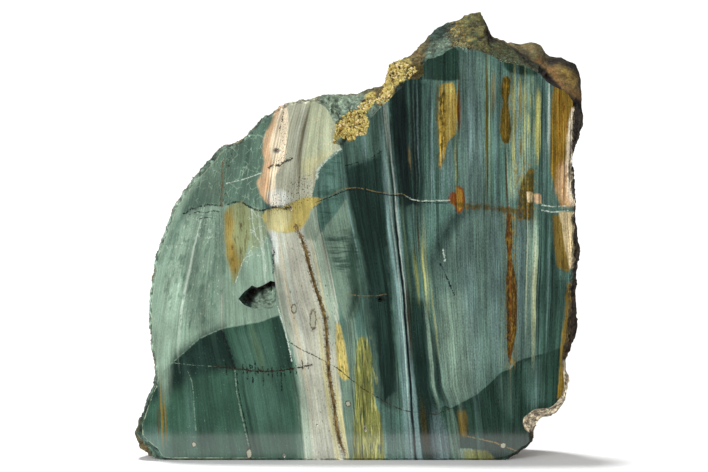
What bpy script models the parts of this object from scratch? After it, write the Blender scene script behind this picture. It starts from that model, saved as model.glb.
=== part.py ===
"""Petrified bog wood: one upright piece of a log turned to stone.

The face is sawn flat and polished, the foot is sawn flat so that the piece stands by itself, and
the rest is raw: broken slopes and a peak above the face, lumps of rind at the upper right, a
rind down the right side, and a weathered back.

The shape is written in millimetres. X runs to the right along the face, Z up from the sawn foot,
and depth runs back from the polished face, which is at depth 0. The finished solid is in metres,
with its origin at the bottom centre of its box and its face towards -Y.
"""

import math

import bmesh
import bpy
from mathutils import Vector, noise
from mathutils.geometry import delaunay_2d_cdt

NODE = "petrified_bog_wood"
MILLIMETRE = 0.001

# Driving dimensions of the back and the sides
BACK_DEPTH = 58.0
BACK_EDGE_ROUNDING = 5.0
BACK_RING_SCALE = 0.93
BACK_RING_SMOOTHINGS = 14
BACK_GRID = 7.5
LONGEST_RING_STEP = 6.0
WALL_ROWS = 7
WALL_CURL = 2.2

# How rough the raw stone is
SLOPE_ROUGHNESS = 0.55
SLOPE_LUMP = 5.0
WEATHERED_ROUGHNESS = 1.5
WEATHERED_LUMP = 14.0
GRAIN_RIDGE = 1.1
GRAIN_RIDGE_WIDTH = 9.0
GRAIN_RIDGE_LENGTH = 70.0
NOISE_SEED = Vector((11.3, 4.7, 2.9))

# Outline of the polished face, as (x, z), clockwise from the left end of the foot
FACE_OUTLINE = [
    # lower left corner and left side
    (-93.5, 1), (-98, 1.5), (-101, 6), (-105.5, 9.5), (-108.5, 13), (-108.5, 18), (-106, 25.5),
    (-103.5, 32.5), (-101, 38.5), (-100.5, 43), (-101, 49), (-102.5, 55), (-103.5, 65),
    (-103.5, 80), (-102, 90), (-100.5, 99), (-98, 107.5), (-95, 116), (-92, 124), (-88.5, 130),
    # rounded shoulder, up to the top of the pale tongue
    (-84, 136), (-78.5, 142.5), (-72.5, 149), (-69, 153.5), (-66, 156), (-61, 157), (-57.5, 159),
    (-54.5, 161.5), (-52.5, 164), (-49.5, 167.5), (-47, 170), (-44, 171), (-42, 172.5),
    (-40.5, 174), (-36, 176.5), (-33, 177), (-29.5, 178), (-25.5, 178.5), (-23, 179),
    # down round the chipped slope and up again below it
    (-19.5, 178), (-17, 176.5), (-15.5, 174.5), (-14, 171.5), (-12, 168.5), (-12, 165),
    (-13, 161.5), (-12.5, 158.5), (-9, 157), (-5, 159), (-1.5, 162), (3.5, 163), (4, 166.5),
    (5.5, 170.5), (8, 173.5), (12.5, 178), (16, 181.5), (18.5, 184), (21.5, 186.5), (22.5, 189.5),
    (25.5, 190), (29.5, 190.5), (32, 193), (31.5, 197),
    # below the peak and its ledge
    (34, 200.5), (37.5, 201), (41, 202.5), (43.5, 204.5), (49, 206.5), (53, 203), (55.5, 204.5),
    (59, 204.5), (62.5, 203), (66.5, 201.5), (70, 199), (74, 198.5), (78, 197.5), (82, 197),
    (85.5, 195), (88.5, 193.5), (91, 191.5), (93, 189), (96, 187), (99, 185.5), (101.5, 184.5),
    (104, 182.5), (106, 179.5),
    # right side
    (106, 177.5), (105.5, 174.5), (105.5, 169), (104.5, 165), (105, 160.5), (104.5, 154.5),
    (104, 150.5), (103.5, 146), (104, 142), (104.5, 137), (106, 131.5), (106, 125.5),
    (105, 120.5), (106, 117), (105.5, 111), (105.5, 98.5), (104.5, 91.5), (104.5, 88.5),
    (103.5, 85), (104, 80.5), (104, 74), (103.5, 68), (103, 60.5), (101.5, 57.5), (101, 49),
    (102, 41), (102, 36.5), (101, 32.5), (98.5, 29), (95.5, 26.5),
    # chip and lower right corner
    (92, 26), (88.5, 26), (85, 24), (82, 21.5), (81.5, 18), (82.5, 15.5), (84.5, 14), (85, 9.5),
    (83, 7.5), (80.5, 6.5), (77.5, 4), (74.5, 2.5), (70.5, 1.5), (65.5, 1),
]

# The outermost edge seen from the front, as (x, z, depth), the same way round
SILHOUETTE = [
    # lower left corner and left side
    (-92, 0, 1), (-98, 0, 2), (-101.5, 1, 4), (-105.5, 2.5, 6), (-110, 5.5, 7), (-112, 9.5, 7),
    (-112.5, 13, 6), (-110.5, 18.5, 4.5), (-108, 24.5, 3), (-106.5, 28.5, 2.5), (-105.5, 32.5, 2),
    (-103, 37, 2), (-102, 43, 1.5), (-102.5, 49.5, 1.5), (-104, 54.5, 2), (-104.5, 65, 2),
    (-105, 75, 2), (-104.5, 82.5, 2), (-103, 92, 2), (-101.5, 101.5, 2), (-99, 109, 2),
    (-96, 116.5, 2), (-93.5, 124.5, 2), (-90.5, 129.5, 2), (-86.5, 136, 2), (-80, 144, 2),
    # rounded shoulder
    (-73.5, 151.5, 2.5), (-70, 155.5, 3), (-66.5, 157.5, 3), (-61, 158.5, 3), (-58, 160.5, 2.5),
    (-55, 163, 2.5), (-53.5, 165, 2.5), (-50.5, 168.5, 2.5), (-48, 171.5, 2.5), (-44.5, 172.5, 2),
    (-42.5, 174, 2), (-41, 175.5, 2), (-36.5, 178, 2), (-33.5, 178.5, 2.5), (-29.5, 179.5, 2.5),
    (-25.5, 180, 2.5), (-23, 180.5, 3),
    # top of the chipped slope
    (-19.5, 182, 5), (-16, 182.5, 8), (-11, 182.5, 10), (-6, 182.5, 12), (0, 182.5, 13),
    (4.5, 185, 11), (9.5, 186.5, 10), (13, 187, 8.5), (14, 189, 7.5), (14.5, 193.5, 7.5),
    (15.5, 197, 8), (17, 198.5, 8.5), (20.5, 200, 9.5), (23, 200.5, 10.5), (26.5, 202.5, 12),
    # left flank of the peak, up to its tip
    (29, 205, 13), (33, 209, 15), (35.5, 212.5, 17), (38.5, 215.5, 19), (42, 217, 20),
    (45.5, 218.5, 21), (48.5, 220, 21.5), (51.5, 220.5, 21.5), (54.5, 222, 21.5), (58, 223, 21.5),
    (60, 224, 21.5),
    # right flank of the peak and the dark crest behind the ledge
    (62.5, 220.5, 22), (65, 216.5, 25), (67, 211.5, 28), (69.5, 211, 30), (73, 210, 32),
    (75, 208, 31), (77.5, 208.5, 34), (80, 208, 34), (81, 207, 33), (83, 208, 36),
    # lumps of rind
    (86, 208.5, 36), (89, 209, 36), (91.5, 207.5, 35), (94, 205.5, 33), (94.5, 203, 32),
    (96, 202, 32), (99.5, 202.5, 33), (102.5, 201.5, 33), (106, 199, 32), (109, 198.5, 32),
    (109.5, 196, 31), (110.5, 191, 29), (111, 186, 27), (112, 181.5, 25), (112, 176, 24),
    # right rind
    (112.5, 170.5, 21), (111.5, 165, 19), (110.5, 161.5, 16), (108.5, 158.5, 12), (107, 154.5, 9),
    (106.5, 148, 8), (107, 143.5, 8), (107.5, 138, 8), (107.5, 133.5, 8), (108, 127, 8),
    (108, 122.5, 9), (108.5, 118, 10), (109.5, 114, 12), (109.5, 109.5, 12), (110.5, 103, 13),
    (109.5, 97, 12), (108.5, 93, 11), (109, 87, 12), (108.5, 79, 12), (108.5, 70.5, 13),
    (109, 66, 13), (108.5, 60.5, 11), (107, 58, 9), (106, 54.5, 8), (104, 53, 5.5),
    (103, 49.5, 4.5), (103.5, 45, 4), (104.5, 41, 4), (104.5, 36.5, 4), (103.5, 32, 4.5),
    # chip and lower right corner
    (102, 27.5, 5.5), (98.5, 23.5, 6.5), (95, 21.5, 7.5), (91, 20.5, 8), (89, 18, 8), (88, 15, 8),
    (87.5, 11.5, 7), (86.5, 8.5, 5), (84.5, 6.5, 4), (82, 5, 3.5), (79, 3.5, 3), (76.5, 1.5, 2.5),
    (73, 0, 2), (69, 0, 1),
]

# Points of the broken slopes between those two outlines, as (x, z, depth)
SLOPE_POINTS = [
    # chipped slope left of the main face, with its thin upper ridge
    (-10.5, 176, 8), (-8.5, 171, 5.5), (-9, 165, 3), (-9.5, 160.5, 1.5), (-7, 174, 4),
    (-4, 177, 6), (1, 181, 9.5), (-8, 177, 7.5), (-4.5, 179.5, 10), (-4.5, 165, 2), (-2, 170, 3.5),
    (1.5, 173.5, 4.5), (0.5, 167, 1.8), (5, 178.5, 6), (8.5, 181.5, 6.5), (9.5, 178, 2.5),
    (12.5, 182.5, 4.5), (14.5, 185.5, 4.5),
    # yellow ledge and the mottled notch beside it
    (16.5, 191, 4.5), (17.5, 195.5, 6), (20, 190, 2.5), (19.5, 194.5, 5.5), (18.5, 186.5, 1.5),
    (24.5, 193.5, 3), (28, 195, 3), (25.5, 197.5, 7), (29.5, 199, 7), (28.5, 202, 10),
    # peak: pale scoop, dark upper left facet, brown main facet
    (35.5, 210, 14), (39.5, 210.5, 13), (43.5, 211.5, 12.5), (47, 213, 12), (49.5, 214, 12),
    (39.5, 206, 6), (35, 205, 7), (43.5, 208.5, 8.5), (32, 203.5, 9), (47, 209.5, 7),
    (44, 215.5, 17), (40.5, 214, 17), (52, 208, 4.5), (56.5, 208, 5), (60.5, 206, 3),
    (53.5, 215, 13), (57.5, 219, 17.5), (58, 213, 9.5), (62, 219, 18.5), (62, 215, 13),
    (63, 211.5, 9), (64.5, 207, 5), (64.5, 204, 2),
    # dark right facet of the peak, and the olive ledge
    (65.2, 211, 17), (66, 208, 9), (68, 208.5, 11), (71, 207.5, 12.5), (74, 205.5, 12),
    (77.5, 203, 10), (81, 200, 7), (84, 197.2, 4), (69.5, 204, 5), (74.5, 202, 4.5),
    # dark cleft between the face and the rind
    (72, 208.8, 21), (76, 206, 22), (79.5, 204.5, 22), (81, 202.5, 20), (84, 199.5, 18),
    (87, 196.5, 16), (90.5, 193, 15), (94, 189.5, 14), (98, 187.5, 12.5), (101.5, 186, 11.5),
    (105, 182.5, 9),
    # lumps of rind
    (85, 206, 30), (89, 205, 26), (88.5, 201, 23), (92, 202.5, 26), (91, 197.5, 21),
    (95, 199.5, 28), (94.5, 194, 20), (97, 197, 24), (100.5, 197, 24), (103.5, 196, 24),
    (107, 195, 26), (98.5, 191.5, 18.5), (102.5, 191, 19), (106.5, 190, 20), (102, 187.8, 16.5),
    (105.5, 185, 16), (109, 181.5, 18), (108.5, 186, 19.5), (108, 178.5, 13), (110.3, 176, 18),
    # right rind
    (109, 171, 13), (107.5, 165, 10), (110, 167, 16), (107, 159.5, 6.5), (105.7, 150, 5),
    (106, 140, 4.5), (107, 123.5, 5.5), (107.5, 113.5, 7), (108, 105, 7.5), (107.2, 97, 7),
    (106.7, 87.5, 6.5), (106.3, 79, 6.5), (106.3, 70, 7), (106, 62, 6), (103, 56, 4),
    # pale chip at the lower right, and the lower left corner
    (100, 27.2, 3), (96.5, 24.5, 4), (92, 23.5, 4), (87.5, 23, 3.5), (84.8, 20, 4), (86, 16.5, 4.5),
    (-104.5, 6.5, 3), (-109, 11, 3.2), (-110.3, 16, 2.5), (-101.5, 3.3, 2.5),
]

# Natural pocket in the face: its rim on the face, as (x, z), and the points of its floor
POCKET_RIM = [
    (-60.4, 80.9), (-58, 83.9), (-53.6, 87.6), (-51.1, 86.6), (-48.1, 87.6), (-44.4, 89.9),
    (-43, 93.6), (-42.1, 89.4), (-41.6, 83.9), (-41.1, 78.4), (-43.6, 75.9), (-48.6, 76.1),
    (-53.6, 76.1), (-57.6, 77.9),
]
POCKET_FLOOR = [
    (-57, 82, 8), (-53, 85.6, 11), (-48.6, 86.4, 12), (-44.2, 88.7, 9), (-53.6, 80, 8),
    (-48.6, 82, 9), (-44, 83.5, 7.5), (-45.2, 79.4, 3.5), (-50.2, 78.4, 4.5), (-42.6, 80.6, 3),
]

# A worm hole in the face
WORM_HOLE_CENTRE = (10.4, 80.4)
WORM_HOLE_RADIUS = 1.3
WORM_HOLE_DEPTH = 5.0
WORM_HOLE_SIDES = 6

# The long open seam down the pale band, as (x, z) from its top to just above the foot
SEAM = [
    (-31.3, 117.4), (-26.7, 105.2), (-24.4, 95.2), (-21.7, 86), (-17.5, 73), (-16.7, 67),
    (-15.9, 54.5), (-15.2, 43), (-13.7, 34), (-12.5, 26.5), (-11.4, 17), (-9.8, 9.5), (-7.5, 3.5),
]
SEAM_HALF_WIDTH = 0.7
SEAM_DEPTH = 1.0

# Planes that bound the weathered back: depth = first + second * x + third * z
BACK_PLANES = [
    (BACK_DEPTH, 0.02, -0.035),
    (BACK_DEPTH + 14, 0.34, -0.02),
    (BACK_DEPTH + 29, -0.42, -0.03),
    (BACK_DEPTH + 27, 0.05, -0.2),
    (BACK_DEPTH + 24, 0.25, -0.22),
]


def densified(loop):
    """The closed loop with its long steps cut into equal shorter ones."""
    dense = []
    for here, there in zip(loop, loop[1:] + loop[:1]):
        here, there = Vector(here), Vector(there)
        cuts = math.ceil((there - here).xy.length / LONGEST_RING_STEP)
        dense += [tuple(here.lerp(there, i / cuts)) for i in range(cuts)]
    return dense


def back_depth(x, z):
    """Depth of the weathered back, with the ridges that the wood's grain leaves in it."""
    planes = min(a + b * x + c * z for a, b, c in BACK_PLANES)
    grain = Vector((x / GRAIN_RIDGE_WIDTH, z / GRAIN_RIDGE_LENGTH, 0)) + NOISE_SEED
    return planes + GRAIN_RIDGE * noise.noise(grain)


def back_ring_of(ring):
    """The rim of the back: the silhouette smoothed and drawn in, with its foot kept at Z 0."""
    loop = [Vector((x, z)) for x, z, _ in ring]
    on_foot = [point.y == 0 for point in loop]
    for _ in range(BACK_RING_SMOOTHINGS):
        neighbours = zip(loop[-1:] + loop[:-1], loop, loop[1:] + loop[:1])
        loop = [(before + 2 * here + after) / 4 for before, here, after in neighbours]
        loop = [Vector((p.x, 0)) if foot else p for p, foot in zip(loop, on_foot)]
    loop = [point * BACK_RING_SCALE for point in loop]
    return [(p.x, p.y, back_depth(p.x, p.y) - BACK_EDGE_ROUNDING) for p in loop]


def triangulated(points, loops, lines=()):
    """Triangles over (x, z, depth) points, inside the first of the closed loops.

    Returns the points in the triangulation's own order and the triangles."""
    edges = list(lines)
    for loop in loops:
        edges += zip(loop, loop[1:] + loop[:1])
    flat = [Vector(point[:2]) for point in points]
    inside_faces = 1
    made = delaunay_2d_cdt(flat, edges, [loops[0]], inside_faces, 1e-5)
    origins = made[3]
    return [points[found[0]] for found in origins], made[2]


def seam_lines(points):
    """Adds the open seam's two lips and its bottom to the points, and returns their lines."""
    lips = ([], [], [])
    for i, (x, z) in enumerate(SEAM[1:-1], 1):
        before, after = Vector(SEAM[i - 1]), Vector(SEAM[i + 1])
        along = (after - before).normalized()
        across = Vector((-along.y, along.x)) * SEAM_HALF_WIDTH
        for lip, side, depth in zip(lips, (-1, 0, 1), (0, SEAM_DEPTH, 0)):
            lip.append(len(points))
            points.append((x + side * across.x, z + side * across.y, depth))
    ends = [len(points), len(points) + 1]
    points += [(*SEAM[0], 0), (*SEAM[-1], 0)]
    lines = []
    for lip in lips:
        line = [ends[0], *lip, ends[1]]
        lines += zip(line, line[1:])
    return lines


def front_sheet(ring):
    """Everything seen from the front: polished face, broken slopes, pocket, hole and seam."""
    turns = [2 * math.pi * i / WORM_HOLE_SIDES for i in range(WORM_HOLE_SIDES)]
    centre_x, centre_z = WORM_HOLE_CENTRE
    hole_rim = [
        (centre_x + WORM_HOLE_RADIUS * math.cos(turn), centre_z + WORM_HOLE_RADIUS * math.sin(turn))
        for turn in turns
    ]
    points, loops = [], []
    for loop in (ring, FACE_OUTLINE, POCKET_RIM, hole_rim):
        loops.append(list(range(len(points), len(points) + len(loop))))
        points += [(*point, 0) if len(point) == 2 else point for point in loop]
    points += SLOPE_POINTS + POCKET_FLOOR
    points.append((*WORM_HOLE_CENTRE, WORM_HOLE_DEPTH))
    lines = seam_lines(points)
    return triangulated(points, loops, lines)


def back_sheet(rim):
    """The weathered back inside its rim, on a grid of points."""
    points = list(rim)
    rim_points = [Vector(point[:2]) for point in rim]
    columns = range(math.floor(min(p.x for p in rim_points) / BACK_GRID), 20)
    for column in columns:
        for row in range(1, 32):
            shift = 0.5 * (row % 2)
            here = Vector(((column + shift) * BACK_GRID, row * BACK_GRID * 0.87))
            if is_inside(here, rim_points):
                points.append((here.x, here.y, back_depth(here.x, here.y)))
    return triangulated(points, [list(range(len(rim)))])


def is_inside(here, loop):
    """Whether a point is inside the loop and more than half a grid step from its corners."""
    crossings = 0
    for a, b in zip(loop, loop[1:] + loop[:1]):
        if (a - here).length < BACK_GRID / 2:
            return False
        if (a.y > here.y) != (b.y > here.y):
            crossings += here.x < a.x + (here.y - a.y) / (b.y - a.y) * (b.x - a.x)
    return crossings % 2 == 1


def wall_rows(ring, rim):
    """Rows of points from the silhouette back to the rim, which curls in as it goes."""
    rows = []
    for k in range(WALL_ROWS + 1):
        share = k / WALL_ROWS
        inwards = share**WALL_CURL
        row = []
        for (x, z, depth), (rim_x, rim_z, rim_depth) in zip(ring, rim):
            row.append((
                x + (rim_x - x) * inwards,
                z + (rim_z - z) * inwards,
                depth + (rim_depth - depth) * share,
            ))
        rows.append(row)
    return rows


def stone_mesh():
    """The closed coarse mesh, in millimetres, with X right, Y back from the face and Z up."""
    mesh = bmesh.new()

    def vertices_at(points):
        return [mesh.verts.new((x, depth, z)) for x, z, depth in points]

    ring = densified(SILHOUETTE)
    rim = back_ring_of(ring)
    for points, triangles in (front_sheet(ring), back_sheet(rim)):
        corners = vertices_at(points)
        for triangle in triangles:
            mesh.faces.new([corners[i] for i in triangle])
    rows = [vertices_at(row) for row in wall_rows(ring, rim)]
    for row, next_row in zip(rows, rows[1:]):
        for i in range(len(row)):
            j = (i + 1) % len(row)
            mesh.faces.new((row[i], row[j], next_row[j], next_row[i]))
    bmesh.ops.remove_doubles(mesh, verts=mesh.verts, dist=0.01)
    bmesh.ops.recalc_face_normals(mesh, faces=mesh.faces)
    return mesh


def is_sawn(vertex):
    """Whether a vertex lies on the polished face or on the sawn foot."""
    return vertex.co.y < 1e-4 or vertex.co.z < 1e-4


def split_slopes(mesh):
    """Cuts each long edge of the broken slopes in two, so that they can be roughened."""
    longest_kept = 3.5
    slopes = [
        edge
        for edge in mesh.edges
        if edge.calc_length() > longest_kept
        and not all(is_sawn(vertex) for vertex in edge.verts)
        and min(vertex.co.y for vertex in edge.verts) < 26
        and all(face.normal.y < -0.15 for face in edge.link_faces)
    ]
    bmesh.ops.subdivide_edges(mesh, edges=slopes, cuts=1)
    bmesh.ops.triangulate(mesh, faces=mesh.faces)


def roughen(mesh):
    """Moves the raw stone's vertices in and out, finely in front and in broad lumps behind."""
    mesh.normal_update()
    moves = []
    for vertex in mesh.verts:
        if is_sawn(vertex):
            continue
        weathered = min(1.0, max(0.0, (vertex.co.y - 8) / 16))
        size = SLOPE_LUMP + (WEATHERED_LUMP - SLOPE_LUMP) * weathered
        height = SLOPE_ROUGHNESS + (WEATHERED_ROUGHNESS - SLOPE_ROUGHNESS) * weathered
        lump = noise.fractal(vertex.co / size + NOISE_SEED, 0.6, 2.2, 3)
        moves.append((vertex, vertex.normal * lump * height))
    lowest = 0.4
    for vertex, move in moves:
        vertex.co += move
        vertex.co.y = max(vertex.co.y, lowest)
        vertex.co.z = max(vertex.co.z, lowest)


def stone_material():
    """Polished grey-green silicified wood."""
    material = bpy.data.materials.new("silicified_bog_wood")
    material.use_nodes = True
    shader = material.node_tree.nodes["Principled BSDF"]
    shader.inputs["Base Color"].default_value = (0.11, 0.19, 0.15, 1)
    shader.inputs["Roughness"].default_value = 0.25
    shader.inputs["Metallic"].default_value = 0
    return material


def centre_on_foot(mesh):
    """Puts the origin at the bottom centre of the box, and turns millimetres into metres."""
    xs = [vertex.co.x for vertex in mesh.verts]
    ys = [vertex.co.y for vertex in mesh.verts]
    middle = Vector(((min(xs) + max(xs)) / 2, (min(ys) + max(ys)) / 2, 0))
    for vertex in mesh.verts:
        vertex.co = (vertex.co - middle) * MILLIMETRE


def petrified_bog_wood():
    """The one solid."""
    mesh = stone_mesh()
    split_slopes(mesh)
    roughen(mesh)
    centre_on_foot(mesh)
    data = bpy.data.meshes.new(NODE)
    mesh.to_mesh(data)
    mesh.free()
    data.materials.append(stone_material())
    stone = bpy.data.objects.new(NODE, data)
    bpy.context.scene.collection.objects.link(stone)
    return stone


def main():
    for old in list(bpy.data.objects):
        bpy.data.objects.remove(old)
    petrified_bog_wood()


main()
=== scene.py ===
"""Petrified bog wood, dressed: its fine surface, its banding and its weathered rind.

The stone is worked in the frame of its polished face, in millimetres: X runs to the right, depth
runs back from the face and Z runs up from the foot. Places that were read from the photograph are
written as its pixels, and on_face turns them into that frame.
"""

import math
from collections import namedtuple

import bmesh
import bpy
import numpy as np
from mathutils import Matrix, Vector, noise
from mathutils.geometry import delaunay_2d_cdt
from mathutils.kdtree import KDTree

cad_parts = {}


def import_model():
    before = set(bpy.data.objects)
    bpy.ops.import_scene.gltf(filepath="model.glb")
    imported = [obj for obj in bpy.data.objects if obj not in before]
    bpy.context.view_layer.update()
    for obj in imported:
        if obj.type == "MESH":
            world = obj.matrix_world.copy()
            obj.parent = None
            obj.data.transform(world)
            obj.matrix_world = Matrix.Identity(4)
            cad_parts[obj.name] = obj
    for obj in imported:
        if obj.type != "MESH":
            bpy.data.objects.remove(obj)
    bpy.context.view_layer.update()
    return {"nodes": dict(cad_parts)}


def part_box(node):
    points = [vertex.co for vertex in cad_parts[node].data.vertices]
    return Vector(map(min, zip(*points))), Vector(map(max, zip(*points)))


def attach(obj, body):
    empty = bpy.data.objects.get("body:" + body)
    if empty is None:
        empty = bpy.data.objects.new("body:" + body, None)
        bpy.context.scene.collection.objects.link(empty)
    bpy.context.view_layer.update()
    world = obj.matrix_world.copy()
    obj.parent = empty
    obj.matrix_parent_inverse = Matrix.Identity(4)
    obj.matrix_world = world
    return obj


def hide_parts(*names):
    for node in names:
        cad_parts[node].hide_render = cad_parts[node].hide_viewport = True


NODE = "petrified_bog_wood"
MILLIMETRE = 0.001

# The seed of the noise that makes the rim uneven, which would follow the clock without one
NOISE_SEED = 7

# The photograph: its scale on the face, and the pixel at the middle of the stone's foot
PHOTO_SIZE = (708, 472)
PHOTO_PIXEL = 0.5
PHOTO_MIDDLE = 359.3
PHOTO_FOOT = 459.8

# The camera, which looks a little down at the middle of the photograph
CAMERA_VIEW = (0.3526, 0.1123)
CAMERA_DISTANCE = 1.9
CAMERA_ELEVATION = 3.5
CAMERA_SENSOR = 0.036

# How finely the stone is worked, in millimetres
FINE_EDGE = 1.1
COARSE_EDGE = 3.3
FINE_DEPTH = 9.0
COARSE_DEPTH = 35.0
FOOT_EDGE = 6.0
FACE_GRID = 1.6
LINE_GRID = 0.42
LINE_MARGIN = 0.9
RIM_GAP = 0.3
HOLE_GAP = 0.25

# Points nearer than this to the plane of the face or of the foot lie on it, in millimetres
ON_PLANE = 0.01

# How far from its outline a field is measured, and from its edge a line, in millimetres. Beyond
# the least closeness, a line or hole is too far away to matter
FIELD_REACH = 6.0
MARK_REACH = 3.0
LEAST_CLOSENESS = -3.0

# Relief of the raw stone, in millimetres: heights and sizes of its chips and grit, the depths
# between which weathered grain takes their place, the share of it that smooth lumps lack, and
# the depths between which that lack sets in, from the back
CHIPS = [(0.7, 4.6), (0.42, 2.1)]
GRIT_HEIGHT = 0.3
GRIT_SIZE = 1.5
WEATHERED_DEPTHS = (6.0, 26.0)
LUMP_CALM = 0.7
LUMP_DEPTHS = (34, 26)

# How far the raw stone keeps behind the plane of the face and above that of the foot
BEHIND_FACE = 0.08
ABOVE_FOOT = 0.12

# Crumbs in a square metre, their least and greatest radius in metres, what that is multiplied by
# along each axis, at least and at most, and how far behind the face they lie, in millimetres
CRUMB_DENSITY = 1.5e6
CRUMB_RADIUS = (0.0002, 0.0011)
CRUMB_SQUASH = ((0.5, 0.5, 0.4), (1.2, 1.2, 0.8))
CRUMB_DEPTH = 22
FULL_TURN = 6.28

# Light: the world's, what reflections see of it and what the camera sees more of it, and the
# lamps, the sun's width in degrees
WORLD_LIGHT = 0.34
REFLECTED_LIGHT = 0.05
EXTRA_SEEN_LIGHT = 0.8
SOFTBOX_POWER = 19
SUN_STRENGTH = 2.5
SUN_WIDTH = 9
SUN_DIRECTION = (0.12, -0.16, -1)

# What the fields and marks are made of. Places are pixels. Of a streak the rows, the width and
# the soft edge are pixels too; all other sizes are millimetres. A strength is a share of 1
Zone = namedtuple("Zone", "name colour soft ragged strength outline")
Streak = namedtuple("Streak", "colour place top bottom width soft strength")
Line = namedtuple("Line", "kind half_width route")
Pit = namedtuple("Pit", "place half_width half_height depth")
Eye = namedtuple("Eye", "place half_width half_height")
Mottle = namedtuple("Mottle", "name colour sizes low high strength outline")
Net = namedtuple("Net", "name colour size width strength outline")
Noise = namedtuple("Noise", "sizes detail roughness seed")

# The stone's colours, as red, green and blue of 255
COLOURS = {
    "pale_sage": (160, 186, 164),
    "sage": (142, 168, 148),
    "grey_sage": (118, 141, 123),
    "shade_green": (92, 120, 104),
    "slate": (94, 115, 106),
    "slate_blue": (108, 131, 131),
    "mid_teal": (84, 115, 104),
    "low_teal_grey": (66, 90, 80),
    "deep_teal": (46, 72, 62),
    "ink_teal": (28, 48, 42),
    "ink": (18, 28, 28),
    "bottle_green": (56, 88, 72),
    "moss": (86, 108, 80),
    "frost": (114, 140, 138),
    "chalk": (206, 220, 204),
    "white_grey": (226, 232, 224),
    "cream": (210, 190, 145),
    "bone": (184, 186, 168),
    "lilac_grey": (172, 168, 156),
    "putty": (176, 178, 156),
    "olive_pale": (182, 190, 158),
    "butter": (208, 202, 150),
    "shell": (236, 214, 166),
    "peach": (222, 184, 142),
    "peach_pale": (246, 230, 198),
    "cocoa": (108, 88, 62),
    "honey": (172, 142, 60),
    "pine": (36, 60, 50),
    "straw": (176, 174, 104),
    "lime": (124, 126, 64),
    "yellow": (188, 172, 100),
    "bright_yellow": (204, 188, 108),
    "gold": (158, 122, 44),
    "ochre": (134, 108, 40),
    "olive": (144, 152, 108),
    "olive_brown": (78, 66, 18),
    "umber": (70, 50, 22),
    "rust": (124, 66, 24),
    "dark_brown": (44, 32, 22),
    "black_brown": (22, 16, 12),
    "tan": (136, 114, 66),
    "grey_brown": (98, 92, 62),
    "cinnamon": (146, 104, 54),
    "khaki": (98, 94, 50),
    "moss_brown": (62, 66, 32),
}

# Noise that the finishes draw on, with the size of its lumps across, along and through the grain
NOISES = {
    "ragged": Noise((1.6, 5.0, 5.0), 4, 0.6, 3.1),
    "wander": Noise((4.0, 16.0, 12.0), 3, 0.6, 7.7),
    "fine_lines": Noise((0.55, 26.0, 8.0), 3, 0.65, 1.3),
    "broad_lines": Noise((2.1, 70.0, 20.0), 4, 0.6, 5.9),
    "rings": Noise((1.3, 70.0, 20.0), 3, 0.55, 6.6),
    "clouds": Noise((9.0, 24.0, 20.0), 3, 0.55, 4.1),
    "specks": Noise((0.5, 1.1, 1.0), 2, 0.7, 2.9),
    "line_gaps": Noise((3.0, 3.0, 3.0), 3, 0.6, 8.2),
    "line_crumble": Noise((0.8, 0.8, 0.8), 3, 0.6, 5.4),
    "rim_wear": Noise((3.0, 3.0, 3.0), 4, 0.7, 5.5),
    "raw_ragged": Noise((3.0, 3.0, 3.0), 4, 0.6, 2.2),
    "raw_rough": Noise((2.2, 2.2, 2.6), 5, 0.7, 6.3),
    "raw_specks": Noise((0.8, 0.8, 0.8), 4, 0.7, 9.1),
    "rind_lumps": Noise((9.0, 9.0, 14.0), 5, 0.65, 4.4),
    "rind_stains": Noise((3.0, 3.0, 9.0), 5, 0.7, 8.8),
}

# The colour of each kind of line, in the order in which they are laid on
LINE_COLOURS = {
    "pale": "chalk",
    "faint": "grey_sage",
    "dark": "ink",
    "brown": "cocoa",
    "rust": "dark_brown",
    "gold": "tan",
}

# Grain lines down the face, as pixels from top to bottom, in order from left to right
GRAIN_LINES = [
    [(150, 0), (160, 200), (150, 250), (140, 310), (132, 350), (128, 400), (126, 472)],
    [(228, 0), (212, 180), (194, 250), (182, 310), (178, 350), (182, 400), (186, 472)],
    [(240, 0), (227, 158), (222, 205), (223, 250), (222, 300), (222, 329), (234, 367), (237, 392),
     (243, 421), (253, 472)],
    [(300, 0), (290, 90), (280, 120), (271, 165), (266, 200), (270, 236), (275, 278), (281, 311),
     (292, 361), (300, 400), (306, 472)],
    [(322, 0), (312, 100), (304, 130), (299, 160), (296, 200), (298, 227), (305, 252), (315, 300),
     (324, 322), (328, 361), (333, 404), (340, 441), (346, 472)],
    [(338, 0), (338, 100), (341, 147), (345, 190), (352, 226), (359, 260), (364, 284), (367, 310),
     (370, 345), (372, 400), (372, 472)],
    [(384, 0), (386, 100), (391, 159), (394.6, 193), (397, 227), (400, 253), (404, 286),
     (407, 329), (409, 352), (411, 377), (413, 412), (416, 446), (419, 472)],
    [(426, 0), (427, 150), (429, 253), (433, 305), (437, 334), (442, 386), (449, 403), (460, 472)],
    [(485, 0), (486, 150), (487, 250), (489, 330), (492, 400), (498, 472)],
    [(505, 0), (505, 145), (508, 236), (510, 329), (509, 365), (511, 472)],
    [(540, 0), (540, 150), (540, 236), (537, 288), (536, 367), (534, 472)],
    [(563, 0), (563, 150), (562, 200), (566, 270), (566, 300), (560, 370), (556, 472)],
]

# Regions of the face, from one pixel column to another. Each has finishes of its own, since one
# shader can't hold all of the stone's zones and streaks
REGIONS = [(0, 320), (320, 450), (450, 708)]

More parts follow.
